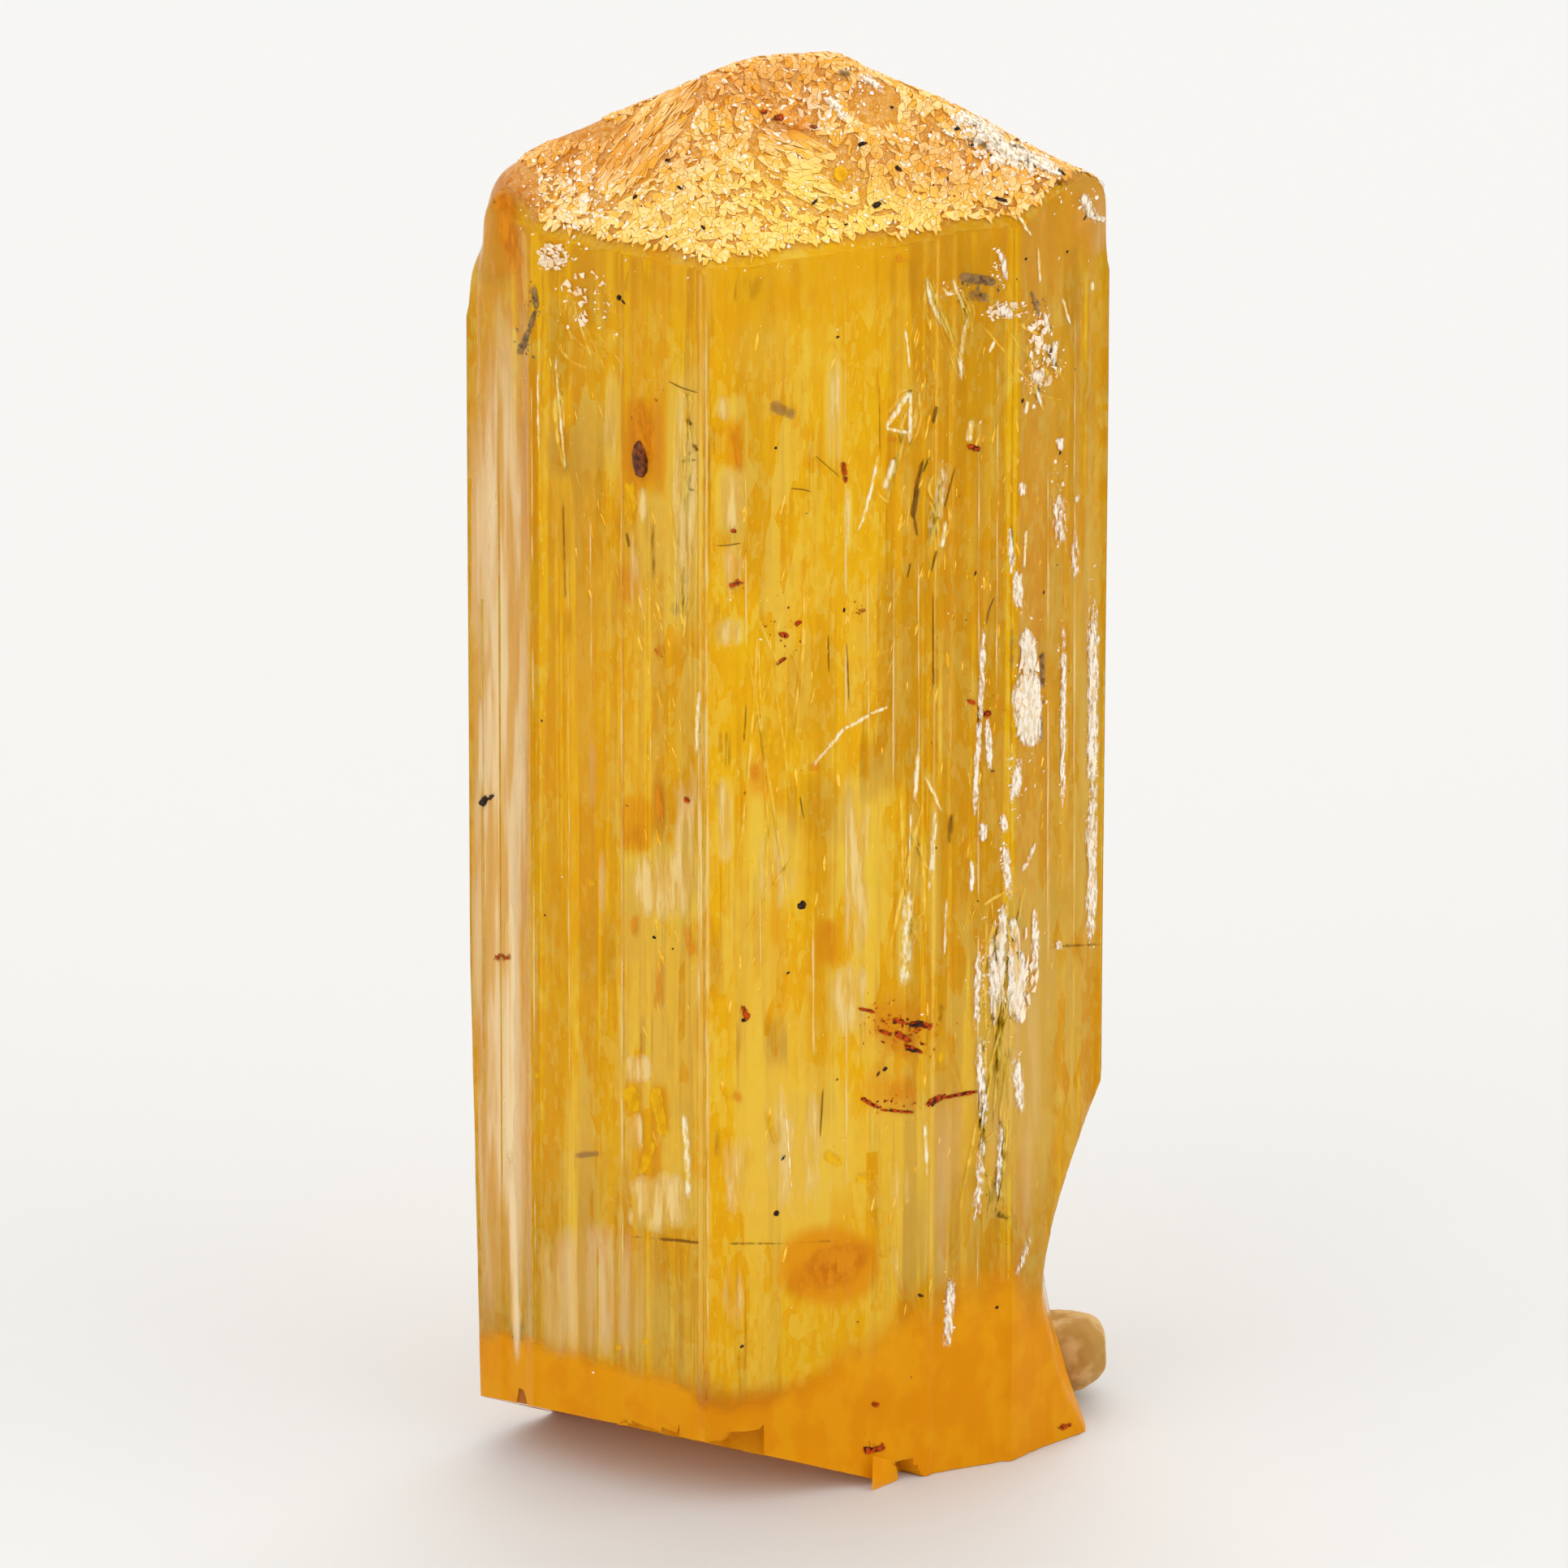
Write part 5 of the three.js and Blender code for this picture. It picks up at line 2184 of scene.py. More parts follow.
@dataclass
class EtchedPlates:
    """Thousands of small angular plates between cracks: the etched roof and the crumbled spots."""

    name: str
    slot: str
    finish: "PlateFinish"
    fields: tuple[PlateField, ...]
    bare: tuple[Zone, ...] = ()
    zones: tuple[Zone, ...] = ()
    gap: float = 0.013
    thickness: float = 0.03
    lift: float = 0.072
    jitter: float = 0.44
    joined: float = 0.32
    tilt: float = 7.0
    rim: float = 0.5
    lowest: float = 35.72
    # Only plates smaller than widest_white may turn white, as painted glints; larger ones keep at most
    # shade_of_wide.
    widest_white: float = 0.011
    shade_of_wide: float = 0.66
    seed: int = 11

    def ground(self, field: PlateField, a: float, b: float, skin: Skin) -> tuple[Vector, Vector] | None:
        """Return the place and normal at an offset from a field's middle, in millimetres.

        Args:
            field: the field.
            a: offset along the field's first direction.
            b: offset along its second.
            skin: the crystal that it lies on.

        Returns:
            The place and the normal, or None outside.
        """
        turn = math.radians(field.turn)
        across, along = a * math.cos(turn) - b * math.sin(turn), a * math.sin(turn) + b * math.cos(turn)
        if field.on_roof:
            middle = skin.seen(*field.middle)[0]
            return skin.over(middle.x + across, middle.y + along)
        scale = PIXELS_A_MILLIMETRE
        return skin.seen(field.middle[0] + across * scale, field.middle[1] - along * scale)

    def free(self, field: PlateField, place: Vector, normal: Vector, skin: Skin) -> bool:
        """Return whether a plate of a field may lie at a place.

        Args:
            field: the field.
            place: the place.
            normal: the crystal's normal there.
            skin: the crystal that it lies on.

        Returns:
            Whether it may.
        """
        spot = skin.view.frame_place(np.array(place[:])[None, :])
        if any(zone.cover(spot)[0] > 0.5 for zone in self.bare):
            return False
        if not field.on_roof:
            return True
        wave = 0.3 * (float(value_noise(place.x * 2.3 + 40, place.y * 2.3 + 40, 61)) - 0.5)
        if normal.z < self.rim or place.z < self.lowest + wave:
            return False
        others = self.fields[self.fields.index(field) + 1 :]
        for other in others:
            if other.on_roof:
                u, v = other.local(place, skin.seen(*other.middle)[0])
                if u * u + v * v < 1:
                    return False
        return True

    def lay(self, field: PlateField, skin: Skin, draw: random.Random) -> bmesh.types.BMesh:
        """Lay one field.

        Args:
            field: the field.
            skin: the crystal that it lies on.
            draw: the random numbers that it takes.

        Returns:
            Its plates.
        """
        sheet = bmesh.new()
        tone = sheet.verts.layers.float.new("tone")
        cells = [max(2, round(2 * half / cell)) for half, cell in zip(field.half, field.cell)]
        bmesh.ops.create_grid(sheet, x_segments=cells[0], y_segments=cells[1], size=1.0)
        lost = []
        for vertex in sheet.verts:
            u, v = vertex.co.x, vertex.co.y
            a = u * field.half[0] + draw.uniform(-1, 1) * self.jitter * field.cell[0]
            b = v * field.half[1] + draw.uniform(-1, 1) * self.jitter * field.cell[1]
            ground = self.ground(field, a, b, skin)
            round_off = field.round_off and u * u + v * v > 1
            if ground is None or round_off or not self.free(field, *ground, skin):
                lost.append(vertex)
                continue
            vertex.co = ground[0] + ground[1] * self.lift
        bmesh.ops.delete(sheet, geom=lost, context="VERTS")
        bmesh.ops.triangulate(sheet, faces=sheet.faces[:])
        seams = [edge for edge in sheet.edges if len(edge.link_faces) == 2 and draw.random() < self.joined]
        bmesh.ops.dissolve_edges(sheet, edges=seams, use_verts=False)
        cracks = bmesh.ops.inset_individual(sheet, faces=sheet.faces[:], thickness=self.gap / 2)["faces"]
        bmesh.ops.delete(sheet, geom=cracks, context="FACES")
        gone = [face for face in sheet.faces if draw.random() < field.lost or len(face.verts) > 8]
        bmesh.ops.delete(sheet, geom=gone, context="FACES")
        unpinch(sheet)
        for face in sheet.faces:
            # Each plate's tone is partly frost and partly painted light on its tilted facet.
            shade = draw.random()
            if face.calc_area() > self.widest_white:
                shade = min(shade, self.shade_of_wide)
            centre, normal = face.calc_center_median(), face.normal.copy()
            rise = normal * draw.uniform(0, field.lift)
            axis = normal.orthogonal()
            axis.rotate(Matrix.Rotation(draw.uniform(0, math.tau), 3, normal))
            lean = Matrix.Rotation(math.radians(draw.gauss(0, self.tilt)), 3, axis)
            for vertex in face.verts:
                vertex.co = centre + lean @ (vertex.co - centre) + rise
                vertex[tone] = shade
        bmesh.ops.solidify(sheet, geom=sheet.faces[:], thickness=self.thickness)
        return sheet

    def build(self, skin: Skin) -> bpy.types.Object:
        """Make the plates.

        Args:
            skin: the crystal that they lie on.

        Returns:
            The joined plates.
        """
        draw = random.Random(self.seed)
        plates = bmesh.new()
        for field in self.fields:
            sheet = self.lay(field, skin, draw)
            part = bpy.data.meshes.new(field.name)
            sheet.to_mesh(part)
            sheet.free()
            plates.from_mesh(part)
            bpy.data.meshes.remove(part)
        piece = finished(plates, self.name, self.finish.material(), smooth=False)
        paint_zones(piece.data, self.zones)
        return piece


@dataclass(frozen=True)
class PlateFinish:
    """Frosted topaz: each plate has a tone of its own, from gold over peach to white; the tone is partly
    painted light on each facet, and the whitest plates are painted glints.
    """

    name: str = "etched_topaz"
    gold: Colour = linear(242, 180, 62)
    peach: Colour = linear(255, 220, 146)
    white: Colour = linear(255, 242, 222)
    orange: Colour = linear(224, 136, 30)
    yellow: Colour = linear(255, 222, 104)
    roughness: float = 0.4
    opacity: float = 1.0
    gloss: float = 0.12
    relief: float = 0.5
    crack: float = 0.0

    def material(self) -> bpy.types.Material:
        """Return the material.

        Returns:
            The material.
        """
        material, wiring, shader = blank_material(self.name)
        tone = wiring.attribute("tone")
        grain = wiring.group(mottle_group(), Size=0.5, Detail=3.0)
        colour = wiring.mix(wiring.ramp(tone, 0.1, 0.7), self.gold, self.peach)
        colour = wiring.wash(colour, grain["Mask"], 0.2, self.orange)
        # Yellow over the amber zones: on the roof, a painted glow.
        colour = wiring.wash(colour, wiring.attribute(Tone.AMBER.value), 0.7, self.yellow)
        colour = wiring.wash(colour, wiring.attribute(Tone.ORANGE.value), 0.8, self.orange)
        height = grain["Height"]
        if self.crack:
            cracked = wiring.group(crackle_group(), Size=self.crack, Width=0.12)
            height = wiring.math("ADD", height, cracked["Height"])
            seam = wiring.math("SUBTRACT", 1.0, cracked["Height"])
            colour = wiring.wash(colour, seam, 0.55, self.orange)
            colour = wiring.wash(colour, cracked["Cell"], 0.45, self.peach)
        # White where tone and pale zones are highest: frost, and on small plates painted glints.
        bright = wiring.math("ADD", tone, wiring.math("MULTIPLY", wiring.attribute(Tone.PALE.value), 0.25))
        colour = wiring.mix(wiring.ramp(bright, 0.84, 1.02), colour, self.white)
        wiring.dress(shader, Base_Color=colour, Roughness=self.roughness, Specular_IOR_Level=self.gloss)
        if self.opacity < 1:
            there = wiring.math("SUBTRACT", 1.0, wiring.attribute("bare"))
            wiring.feed(shader, "Alpha", wiring.math("MULTIPLY", there, self.opacity))
        wiring.feed(shader, "Normal", wiring.bump(height, self.relief))
        return material


@dataclass
class RoofSkin:
    """Frosted golden skin of the etched roof: one thin closed film under its plates."""

    zones: tuple[Zone, ...]
    finish: PlateFinish = PlateFinish(
        "roof_skin",
        gold=linear(234, 160, 38),
        orange=linear(208, 112, 8),
        yellow=linear(252, 190, 24),
        opacity=0.85,
        crack=0.13,
    )
    half: Pair = (8.6, 5.6)
    cell: float = 0.15
    lift: float = 0.035
    thickness: float = 0.03
    steepest: float = 0.2
    gentlest: float = 0.5
    fading_rings: int = 3

    def build(self, skin: Skin) -> bpy.types.Object:
        """Make the skin.

        Args:
            skin: the crystal that it lies on.

        Returns:
            The film.
        """
        film = bmesh.new()
        bare = film.verts.layers.float.new("bare")
        cells = [round(2 * half / self.cell) for half in self.half]
        bmesh.ops.create_grid(film, x_segments=cells[0], y_segments=cells[1], size=1.0)
        lost = []
        for vertex in film.verts:
            ground = skin.over(vertex.co.x * self.half[0], vertex.co.y * self.half[1])
            if ground is None or ground[1].z < self.steepest:
                lost.append(vertex)
                continue
            vertex.co = ground[0] + ground[1] * self.lift
            vertex[bare] = 1 - float(smoothstep(self.steepest, self.gentlest, ground[1].z))
        bmesh.ops.delete(film, geom=lost, context="VERTS")
        unpinch(film)
        ring = {vertex for edge in film.edges if edge.is_boundary for vertex in edge.verts}
        for number in range(self.fading_rings):
            share = 1 - number / self.fading_rings
            for vertex in ring:
                vertex[bare] = max(vertex[bare], share)
            ring = ring | {edge.other_vert(vertex) for vertex in ring for edge in vertex.link_edges}
        bmesh.ops.solidify(film, geom=film.faces[:], thickness=self.thickness)
        piece = finished(film, "roof_skin", self.finish.material())
        paint_zones(piece.data, self.zones)
        return piece


@dataclass(frozen=True)
class Grain:
    """One grain: its place in the frame's pixels, its length in millimetres, its turn in degrees."""

    place: Pair
    size: float
    slim: float = 0.6
    turn: float = 0.0
    side: Side = Side.FRONT


def specks(**rows: tuple[float, ...]) -> tuple[Grain, ...]:
    """Return grains of the front view.

    Args:
        rows: by name, the column and row, the length, how slim it is and its turn.

    Returns:
        The grains.
    """
    return tuple(Grain((x, y), *rest) for x, y, *rest in rows.values())


@dataclass(frozen=True)
class Cluster:
    """Many grains in an ellipse: its middle and half size in the frame's pixels, theirs in millimetres."""

    middle: Pair
    half: Pair
    count: int
    size: Pair
    upright: bool = False
    scatter: float = 0.55

    def grains(self, draw: random.Random) -> list[Grain]:
        """Return its grains.

        Args:
            draw: the random numbers that they take.

        Returns:
            The grains.
        """
        found = []
        least, greatest = self.size
        for _ in range(self.count):
            x = self.middle[0] + self.half[0] * draw.gauss(0, self.scatter)
            y = self.middle[1] + self.half[1] * draw.gauss(0, self.scatter)
            size = least + (greatest - least) * draw.random() ** 2
            turn = draw.gauss(90, 7) if self.upright else draw.uniform(0, 180)
            slim = draw.uniform(0.05, 0.2) if self.upright else draw.uniform(0.3, 1.0)
            found.append(Grain((x, y), size, slim, turn))
        return found


def heaps(upright: bool = False, **rows: tuple[float, ...]) -> tuple[Cluster, ...]:
    """Return clusters of the front view.

    Args:
        upright: whether their grains stand along the height.
        rows: by name, the column and row of the middle, half the width and half the height, the
            number of grains, and the least and greatest length of a grain.

    Returns:
        The clusters.
    """
    found = []
    for x, y, a, b, count, low, high in rows.values():
        found.append(Cluster((x, y), (a, b), count, (low, high), upright))
    return tuple(found)


@dataclass
class Grains:
    """Small lumpy grains of one kind on the faces."""

    name: str
    slot: str
    finish: StoneFinish
    grains: tuple[Grain, ...] = ()
    subdivisions: int = 2
    rough: float = 0.35
    seed: int = 5
    clusters: tuple[Cluster, ...] = ()
    flat: float = 0.35
    spread: int = 0
    spread_size: Pair = (0.06, 0.2)
    batch: int = 60  # one operator call gets slow on a mesh that has grown large
    longest_on_roof: float = 0.35

    def scattered(self, side: Side, draw: random.Random) -> list[Grain]:
        """Return small grains spread over everything that a side shows.

        Args:
            side: the side.
            draw: the random numbers that they take.

        Returns:
            The grains.
        """
        found = []
        least, greatest = self.spread_size
        for _ in range(self.spread):
            place = side.place(draw, *GRAIN_ROWS)
            size = least + (greatest - least) * draw.random() ** 3
            found.append(Grain(place, size, draw.uniform(0.35, 0.9), draw.uniform(0, 180), side))
        return found

    def add(self, lumps: bmesh.types.BMesh, grain: Grain, skin: Skin, draw: random.Random) -> None:
        """Add one grain.

        Args:
            lumps: the mesh that it joins.
            grain: the grain.
            skin: the crystal that it lies on.
            draw: the random numbers that it takes.
        """
        ground = skin.seen(*grain.place)
        if ground is None:
            return
        point, way = ground
        if way.z > ROOF_SLOPE:
            if grain.size > self.longest_on_roof:
                return
            point = point + way * PLATES_HEIGHT
        right, up, _ = skin.view.axes()
        turn = math.radians(grain.turn)
        along = (right * math.cos(turn) + up * math.sin(turn)).normalized()
        along = (along - way * along.dot(way)).normalized()
        frame_of = Matrix((along, way.cross(along), way)).transposed()
        half = grain.size / 2
        made = bmesh.ops.create_icosphere(lumps, subdivisions=self.subdivisions, radius=1.0)["verts"]
        for vertex in made:
            lump = 1 + draw.uniform(-self.rough, self.rough)
            x, y, z = vertex.co
            shape = Vector((x * half, y * half * grain.slim, z * half * self.flat))
            vertex.co = point + frame_of @ shape * lump

    def build(self, skins: dict[Side, Skin]) -> bpy.types.Object:
        """Make the grains.

        Args:
            skins: the crystal that they lie on, by side.

        Returns:
            The joined grains.
        """
        draw = random.Random(self.seed)
        grains = list(self.grains)
        for side in Side:
            loose = self.scattered(side, draw)
            grains.extend(g for g in loose if side is Side.FRONT or skins[side].turned_away(*g.place))
        for cluster in self.clusters:
            grains.extend(cluster.grains(draw))
        lumps = bmesh.new()
        for start in range(0, len(grains), self.batch):
            few = bmesh.new()
            for grain in grains[start : start + self.batch]:
                self.add(few, grain, skins[grain.side], draw)
            part = bpy.data.meshes.new("batch")
            few.to_mesh(part)
            few.free()
            lumps.from_mesh(part)
            bpy.data.meshes.remove(part)
        return finished(lumps, self.name, self.finish.material())


@dataclass
class DarkGrains(Grains):
    """Black and brown specks."""

    name: str = "dark_grains"
    slot: str = "dark_mineral"
    finish: StoneFinish = StoneFinish(
        "dark_grain", linear(28, 20, 16), linear(70, 44, 26), 0.5, size=0.1, film=False
    )
    grains: tuple[Grain, ...] = specks(
        left_edge=(597, 987, 0.5, 0.4, 24),
        left_edge_tail=(606, 982, 0.3, 0.4, 24),
        shoulder=(763, 367, 0.2, 0.6, 60),
        shoulder_tail=(768, 372, 0.16, 0.4, -30),
        centre=(988, 1115, 0.26, 0.9, 10),
        cluster_1=(1130, 1262, 0.5, 0.35, -8),
        cluster_2=(1122, 1293, 0.34, 0.35, -20),
        cluster_3=(1104, 1259, 0.2, 0.5, 10),
        cluster_4=(1109, 1274, 0.2, 0.5, -40),
        dot_1090=(1090, 1317, 0.16, 0.7, 30),
        dot_1082=(1082, 1323, 0.16, 0.5, 70),
        crack_dark=(1150, 1356, 0.4, 0.36, 24),
        crack_end=(1064, 1354, 0.16, 0.6, 0),
        crack_tail=(1188, 1347, 0.36, 0.22, 6),
        dot_983=(983, 768, 0.16, 0.6, 50),
        dot_965=(964, 782, 0.18, 0.6, -20),
        dot_956=(956, 552, 0.08, 0.9, 0),
        dot_965_low=(965, 1426, 0.18, 0.7, 60),
        dot_973=(957, 1495, 0.16, 0.9, 0),
        dot_806=(806, 1155, 0.12, 0.8, 0),
        dot_829=(829, 1169, 0.07, 0.8, 0),
        dot_918=(918, 977, 0.1, 0.5, 70),
        dot_917=(917, 1257, 0.14, 0.8, 0),
        dot_1134=(1134, 1596, 0.16, 0.7, -20),
        dot_1228=(1228, 1611, 0.14, 0.7, 0),
        dot_914=(914, 1659, 0.12, 0.7, 40),
        dot_1040=(1040, 752, 0.12, 0.6, 80),
        dot_1153=(1153, 1045, 0.08, 0.8, 0),
        foot_1070=(1070, 1785, 0.3, 0.4, -15),
        foot_1085=(1084, 1783, 0.2, 0.5, 20),
        right_1264=(1264, 319, 0.12, 0.6, 0),
        right_1315=(1315, 310, 0.1, 0.7, 60),
        right_1276=(1276, 424, 0.2, 0.4, 60),
        right_1260=(1260, 494, 0.14, 0.7, 60),
        right_1307=(1306, 558, 0.12, 0.5, 80),
        right_1202=(1202, 706, 0.14, 0.4, 80),
        right_1286=(1286, 730, 0.12, 0.4, 80),
        roof_1105=(1105, 209, 0.24, 0.5, -30),
        roof_1079=(1079, 254, 0.28, 0.5, 30),
        roof_1003=(1003, 250, 0.24, 0.3, 45),
        roof_1233=(1233, 248, 0.3, 0.4, -10),
        roof_1306=(1306, 214, 0.26, 0.4, -40),
        roof_1062=(1062, 179, 0.24, 0.5, 20),
        roof_1098=(1098, 134, 0.1, 0.8, 0),
        roof_1178=(1178, 160, 0.2, 0.5, 20),
        roof_1207=(1207, 153, 0.16, 0.4, -30),
        roof_1195=(1196, 180, 0.14, 0.5, 0),
        roof_1220=(1220, 193, 0.12, 0.6, 0),
        roof_1042=(1042, 279, 0.12, 0.5, 20),
        roof_1337=(1337, 268, 0.16, 0.4, 60),
        roof_784=(784, 244, 0.14, 0.6, 40),
        roof_839=(839, 233, 0.18, 0.4, -45),
        roof_867=(867, 282, 0.16, 0.5, -50),
        roof_823=(823, 294, 0.12, 0.4, -50),
        roof_824=(824, 199, 0.14, 0.6, 0),
    )


@dataclass
class Dust(Grains):
    """Fine dark dust on every side."""

    name: str = "dust"
    slot: str = "dark_mineral"
    finish: StoneFinish = StoneFinish("dust", linear(70, 44, 20), linear(124, 84, 40), 0.7, film=False)
    subdivisions: int = 1
    seed: int = 8
    spread: int = 70
    spread_size: Pair = (0.03, 0.14)


@dataclass
class PaintedGlints(Grains):
    """Small white specks: painted glints on the faces, and a painted highlight on the bubble droplet."""

    name: str = "painted_glints"
    slot: str = "inclusion"
    finish: StoneFinish = StoneFinish(
        "painted_glint", linear(255, 248, 232), linear(255, 255, 250), 0.3, film=False
    )
    subdivisions: int = 1
    seed: int = 9
    spread: int = 30
    spread_size: Pair = (0.03, 0.1)
    grains: tuple[Grain, ...] = specks(
        # A painted highlight on the bubble droplet; the rest are painted glints.
        bubble_light=(783, 578, 0.1, 0.7, 80),
        shoulder_1=(700, 403, 0.16, 0.6, 60),
        shoulder_2=(738, 404, 0.12, 0.5, 20),
        shoulder_3=(760, 412, 0.12, 0.6, 40),
        centre=(963, 1056, 0.12, 0.7, 0),
        cluster=(1136, 1250, 0.1, 0.6, 0),
        right_1=(1305, 318, 0.12, 0.4, 60),
        right_2=(1208, 520, 0.1, 0.5, 70),
    )


@dataclass
class RoofPaintedGlints(Grains):
    """Near-white specks spread over the etched roof: painted glints."""

    name: str = "roof_painted_glints"
    slot: str = "inclusion"
    finish: StoneFinish = StoneFinish(
        "roof_painted_glint", linear(255, 240, 212), linear(255, 252, 240), 0.6, film=False, gloss=0.05
    )
    subdivisions: int = 1
    rough: float = 0.5
    seed: int = 12
    flat: float = 0.7
    clusters: tuple[Cluster, ...] = heaps(
        white_patch=(715, 250, 52, 52, 170, 0.04, 0.13),
        left_corner=(672, 232, 22, 24, 30, 0.04, 0.11),
        left_slope=(800, 200, 110, 70, 120, 0.03, 0.1),
        left_foot=(850, 270, 120, 60, 130, 0.03, 0.11),
        middle=(1000, 250, 110, 60, 150, 0.03, 0.12),
        right_slope=(1150, 220, 120, 60, 120, 0.03, 0.1),
        summit=(930, 120, 100, 46, 70, 0.03, 0.1),
        knob=(1030, 130, 50, 40, 50, 0.03, 0.11),
        right_end=(1290, 240, 60, 24, 26, 0.03, 0.09),
    )


@dataclass
class ClayFlakes(Grains):
    """Crumbs of white clay: on the roof, in the breccia at the upper right, and along the grooves."""

    name: str = "clay_flakes"
    slot: str = "clay"
    finish: StoneFinish = StoneFinish(
        "clay_flake", linear(236, 216, 184), linear(255, 248, 236), 0.7, size=0.1, film=False
    )
    subdivisions: int = 1
    rough: float = 0.5
    seed: int = 13
    clusters: tuple[Cluster, ...] = heaps(
        roof_1=(1190, 158, 24, 15, 60, 0.05, 0.24),
        roof_2=(1216, 172, 18, 17, 60, 0.05, 0.26),
        roof_3=(1246, 190, 28, 12, 80, 0.05, 0.26),
        roof_4=(1282, 204, 26, 10, 60, 0.04, 0.2),
        fleck=(1342, 256, 9, 17, 30, 0.04, 0.18),
        shoulder_patch=(680, 318, 22, 16, 24, 0.03, 0.1),
        shoulder_chips=(722, 365, 32, 34, 24, 0.03, 0.09),
        breccia_left=(1170, 358, 20, 10, 20, 0.03, 0.13),
        breccia_top=(1232, 330, 10, 24, 30, 0.03, 0.14),
        breccia_middle=(1237, 384, 22, 10, 34, 0.04, 0.18),
        breccia_right=(1280, 385, 13, 16, 24, 0.03, 0.14),
        breccia_low=(1290, 440, 17, 28, 46, 0.04, 0.18),
        breccia_foot=(1275, 474, 15, 22, 40, 0.04, 0.2),
        patch=(1266, 850, 18, 72, 70, 0.04, 0.14),
        cluster=(1240, 1185, 38, 74, 90, 0.03, 0.13),
        cluster_left=(1212, 1210, 13, 62, 50, 0.03, 0.14),
        chain_1=(1250, 970, 9, 44, 34, 0.03, 0.15),
        chain_2=(1238, 1065, 8, 44, 34, 0.03, 0.15),
        streak_left=(1210, 1340, 7, 70, 40, 0.03, 0.13),
        streak_middle=(1253, 1335, 6, 38, 24, 0.03, 0.13),
        foot=(1168, 1620, 7, 44, 28, 0.03, 0.13),
        edge_streak=(1345, 950, 6, 215, 110, 0.03, 0.14),
        thin_streak=(1308, 885, 4, 120, 40, 0.03, 0.1),
        left_streak=(1210, 830, 4, 72, 30, 0.03, 0.1),
        groove=(1303, 612, 9, 64, 26, 0.03, 0.14),
        crescent_1=(1024, 138, 9, 21, 30, 0.03, 0.14),
        crescent_2=(1068, 104, 22, 10, 30, 0.03, 0.14),
    )


@dataclass
class GreyFlakes(Grains):
    """Grey-brown crumbs between the clay, and in the fissure at the upper left."""

    name: str = "grey_flakes"
    slot: str = "dark_mineral"
    finish: StoneFinish = StoneFinish(
        "grey_flake", linear(70, 58, 46), linear(150, 128, 98), 0.8, size=0.1, film=False
    )
    subdivisions: int = 1
    rough: float = 0.5
    seed: int = 14
    clusters: tuple[Cluster, ...] = heaps(
        smudge=(1205, 346, 28, 11, 46, 0.03, 0.15),
        smudge_low=(1210, 366, 20, 8, 18, 0.03, 0.1),
        breccia=(1280, 375, 8, 26, 20, 0.03, 0.12),
        breccia_low=(1294, 446, 10, 26, 22, 0.03, 0.13),
        roof=(1206, 175, 28, 11, 18, 0.03, 0.1),
        roof_right=(1252, 188, 20, 6, 12, 0.03, 0.09),
        roof_far=(1275, 206, 24, 8, 10, 0.03, 0.09),
        fissure=(657, 372, 6, 22, 24, 0.04, 0.13),
        fissure_low=(648, 420, 9, 24, 30, 0.04, 0.14),
        patch_side=(1282, 850, 4, 60, 22, 0.03, 0.12),
    )


@dataclass
class RustFlakes(Grains):
    """Red-brown crumbs of iron oxide around the stained cracks."""

    name: str = "rust_flakes"
    slot: str = "iron_stain"
    finish: StoneFinish = StoneFinish(
        "rust_flake", linear(112, 34, 4), linear(206, 96, 16), 0.7, size=0.1, film=False
    )
    subdivisions: int = 1
    rough: float = 0.5
    seed: int = 15
    clusters: tuple[Cluster, ...] = heaps(
        cluster_left=(1084, 1258, 26, 24, 40, 0.03, 0.14),
        cluster=(1124, 1274, 32, 24, 60, 0.03, 0.16),
        crack=(1095, 1362, 38, 10, 30, 0.03, 0.12),
        crack_end=(1180, 1348, 24, 4, 16, 0.03, 0.1),
        bubble=(792, 545, 18, 55, 30, 0.03, 0.12),
        dot_905=(905, 722, 12, 8, 12, 0.03, 0.09),
        dots_970=(970, 780, 24, 22, 18, 0.02, 0.09),
        dot_1060=(1060, 752, 12, 8, 10, 0.03, 0.09),
        dots_1205=(1205, 868, 20, 16, 14, 0.02, 0.09),
        dot_917=(917, 1250, 6, 12, 10, 0.03, 0.09),
        dot_812=(812, 803, 12, 8, 10, 0.03, 0.09),
        foot=(1080, 1780, 24, 10, 20, 0.03, 0.12),
        roof_right=(1150, 220, 150, 50, 60, 0.02, 0.08),
        roof_left=(850, 250, 150, 60, 60, 0.02, 0.07),
        body=(960, 700, 120, 300, 50, 0.02, 0.06),
        body_low=(1000, 1400, 130, 180, 40, 0.02, 0.06),
    )


@dataclass
class GoldFlakesAndGlints(Grains):
    """Small upright flakes of growth faces, paler gold than the body: their paleness paints the glints of
    these faces.
    """

    name: str = "gold_flakes_and_glints"
    slot: str = "inclusion"
    finish: StoneFinish = StoneFinish(
        "gold_flake_and_glint", linear(240, 176, 24), linear(252, 206, 84), 0.35, size=0.3, film=False
    )
    subdivisions: int = 1
    seed: int = 16
    flat: float = 0.06
    clusters: tuple[Cluster, ...] = heaps(
        upright=True,
        left_face=(720, 620, 60, 230, 50, 0.05, 0.5),
        left_low=(815, 900, 50, 560, 90, 0.05, 0.6),
        middle=(950, 900, 80, 540, 100, 0.05, 0.6),
        right=(1100, 700, 80, 360, 100, 0.05, 0.6),
        right_low=(1120, 1350, 80, 300, 60, 0.05, 0.5),
        far_right=(1230, 620, 50, 200, 60, 0.05, 0.5),
        far_right_low=(1230, 1000, 60, 400, 70, 0.05, 0.5),
        shoulder=(735, 390, 60, 40, 30, 0.05, 0.3),
        right_top=(1160, 430, 60, 80, 40, 0.05, 0.5),
    )


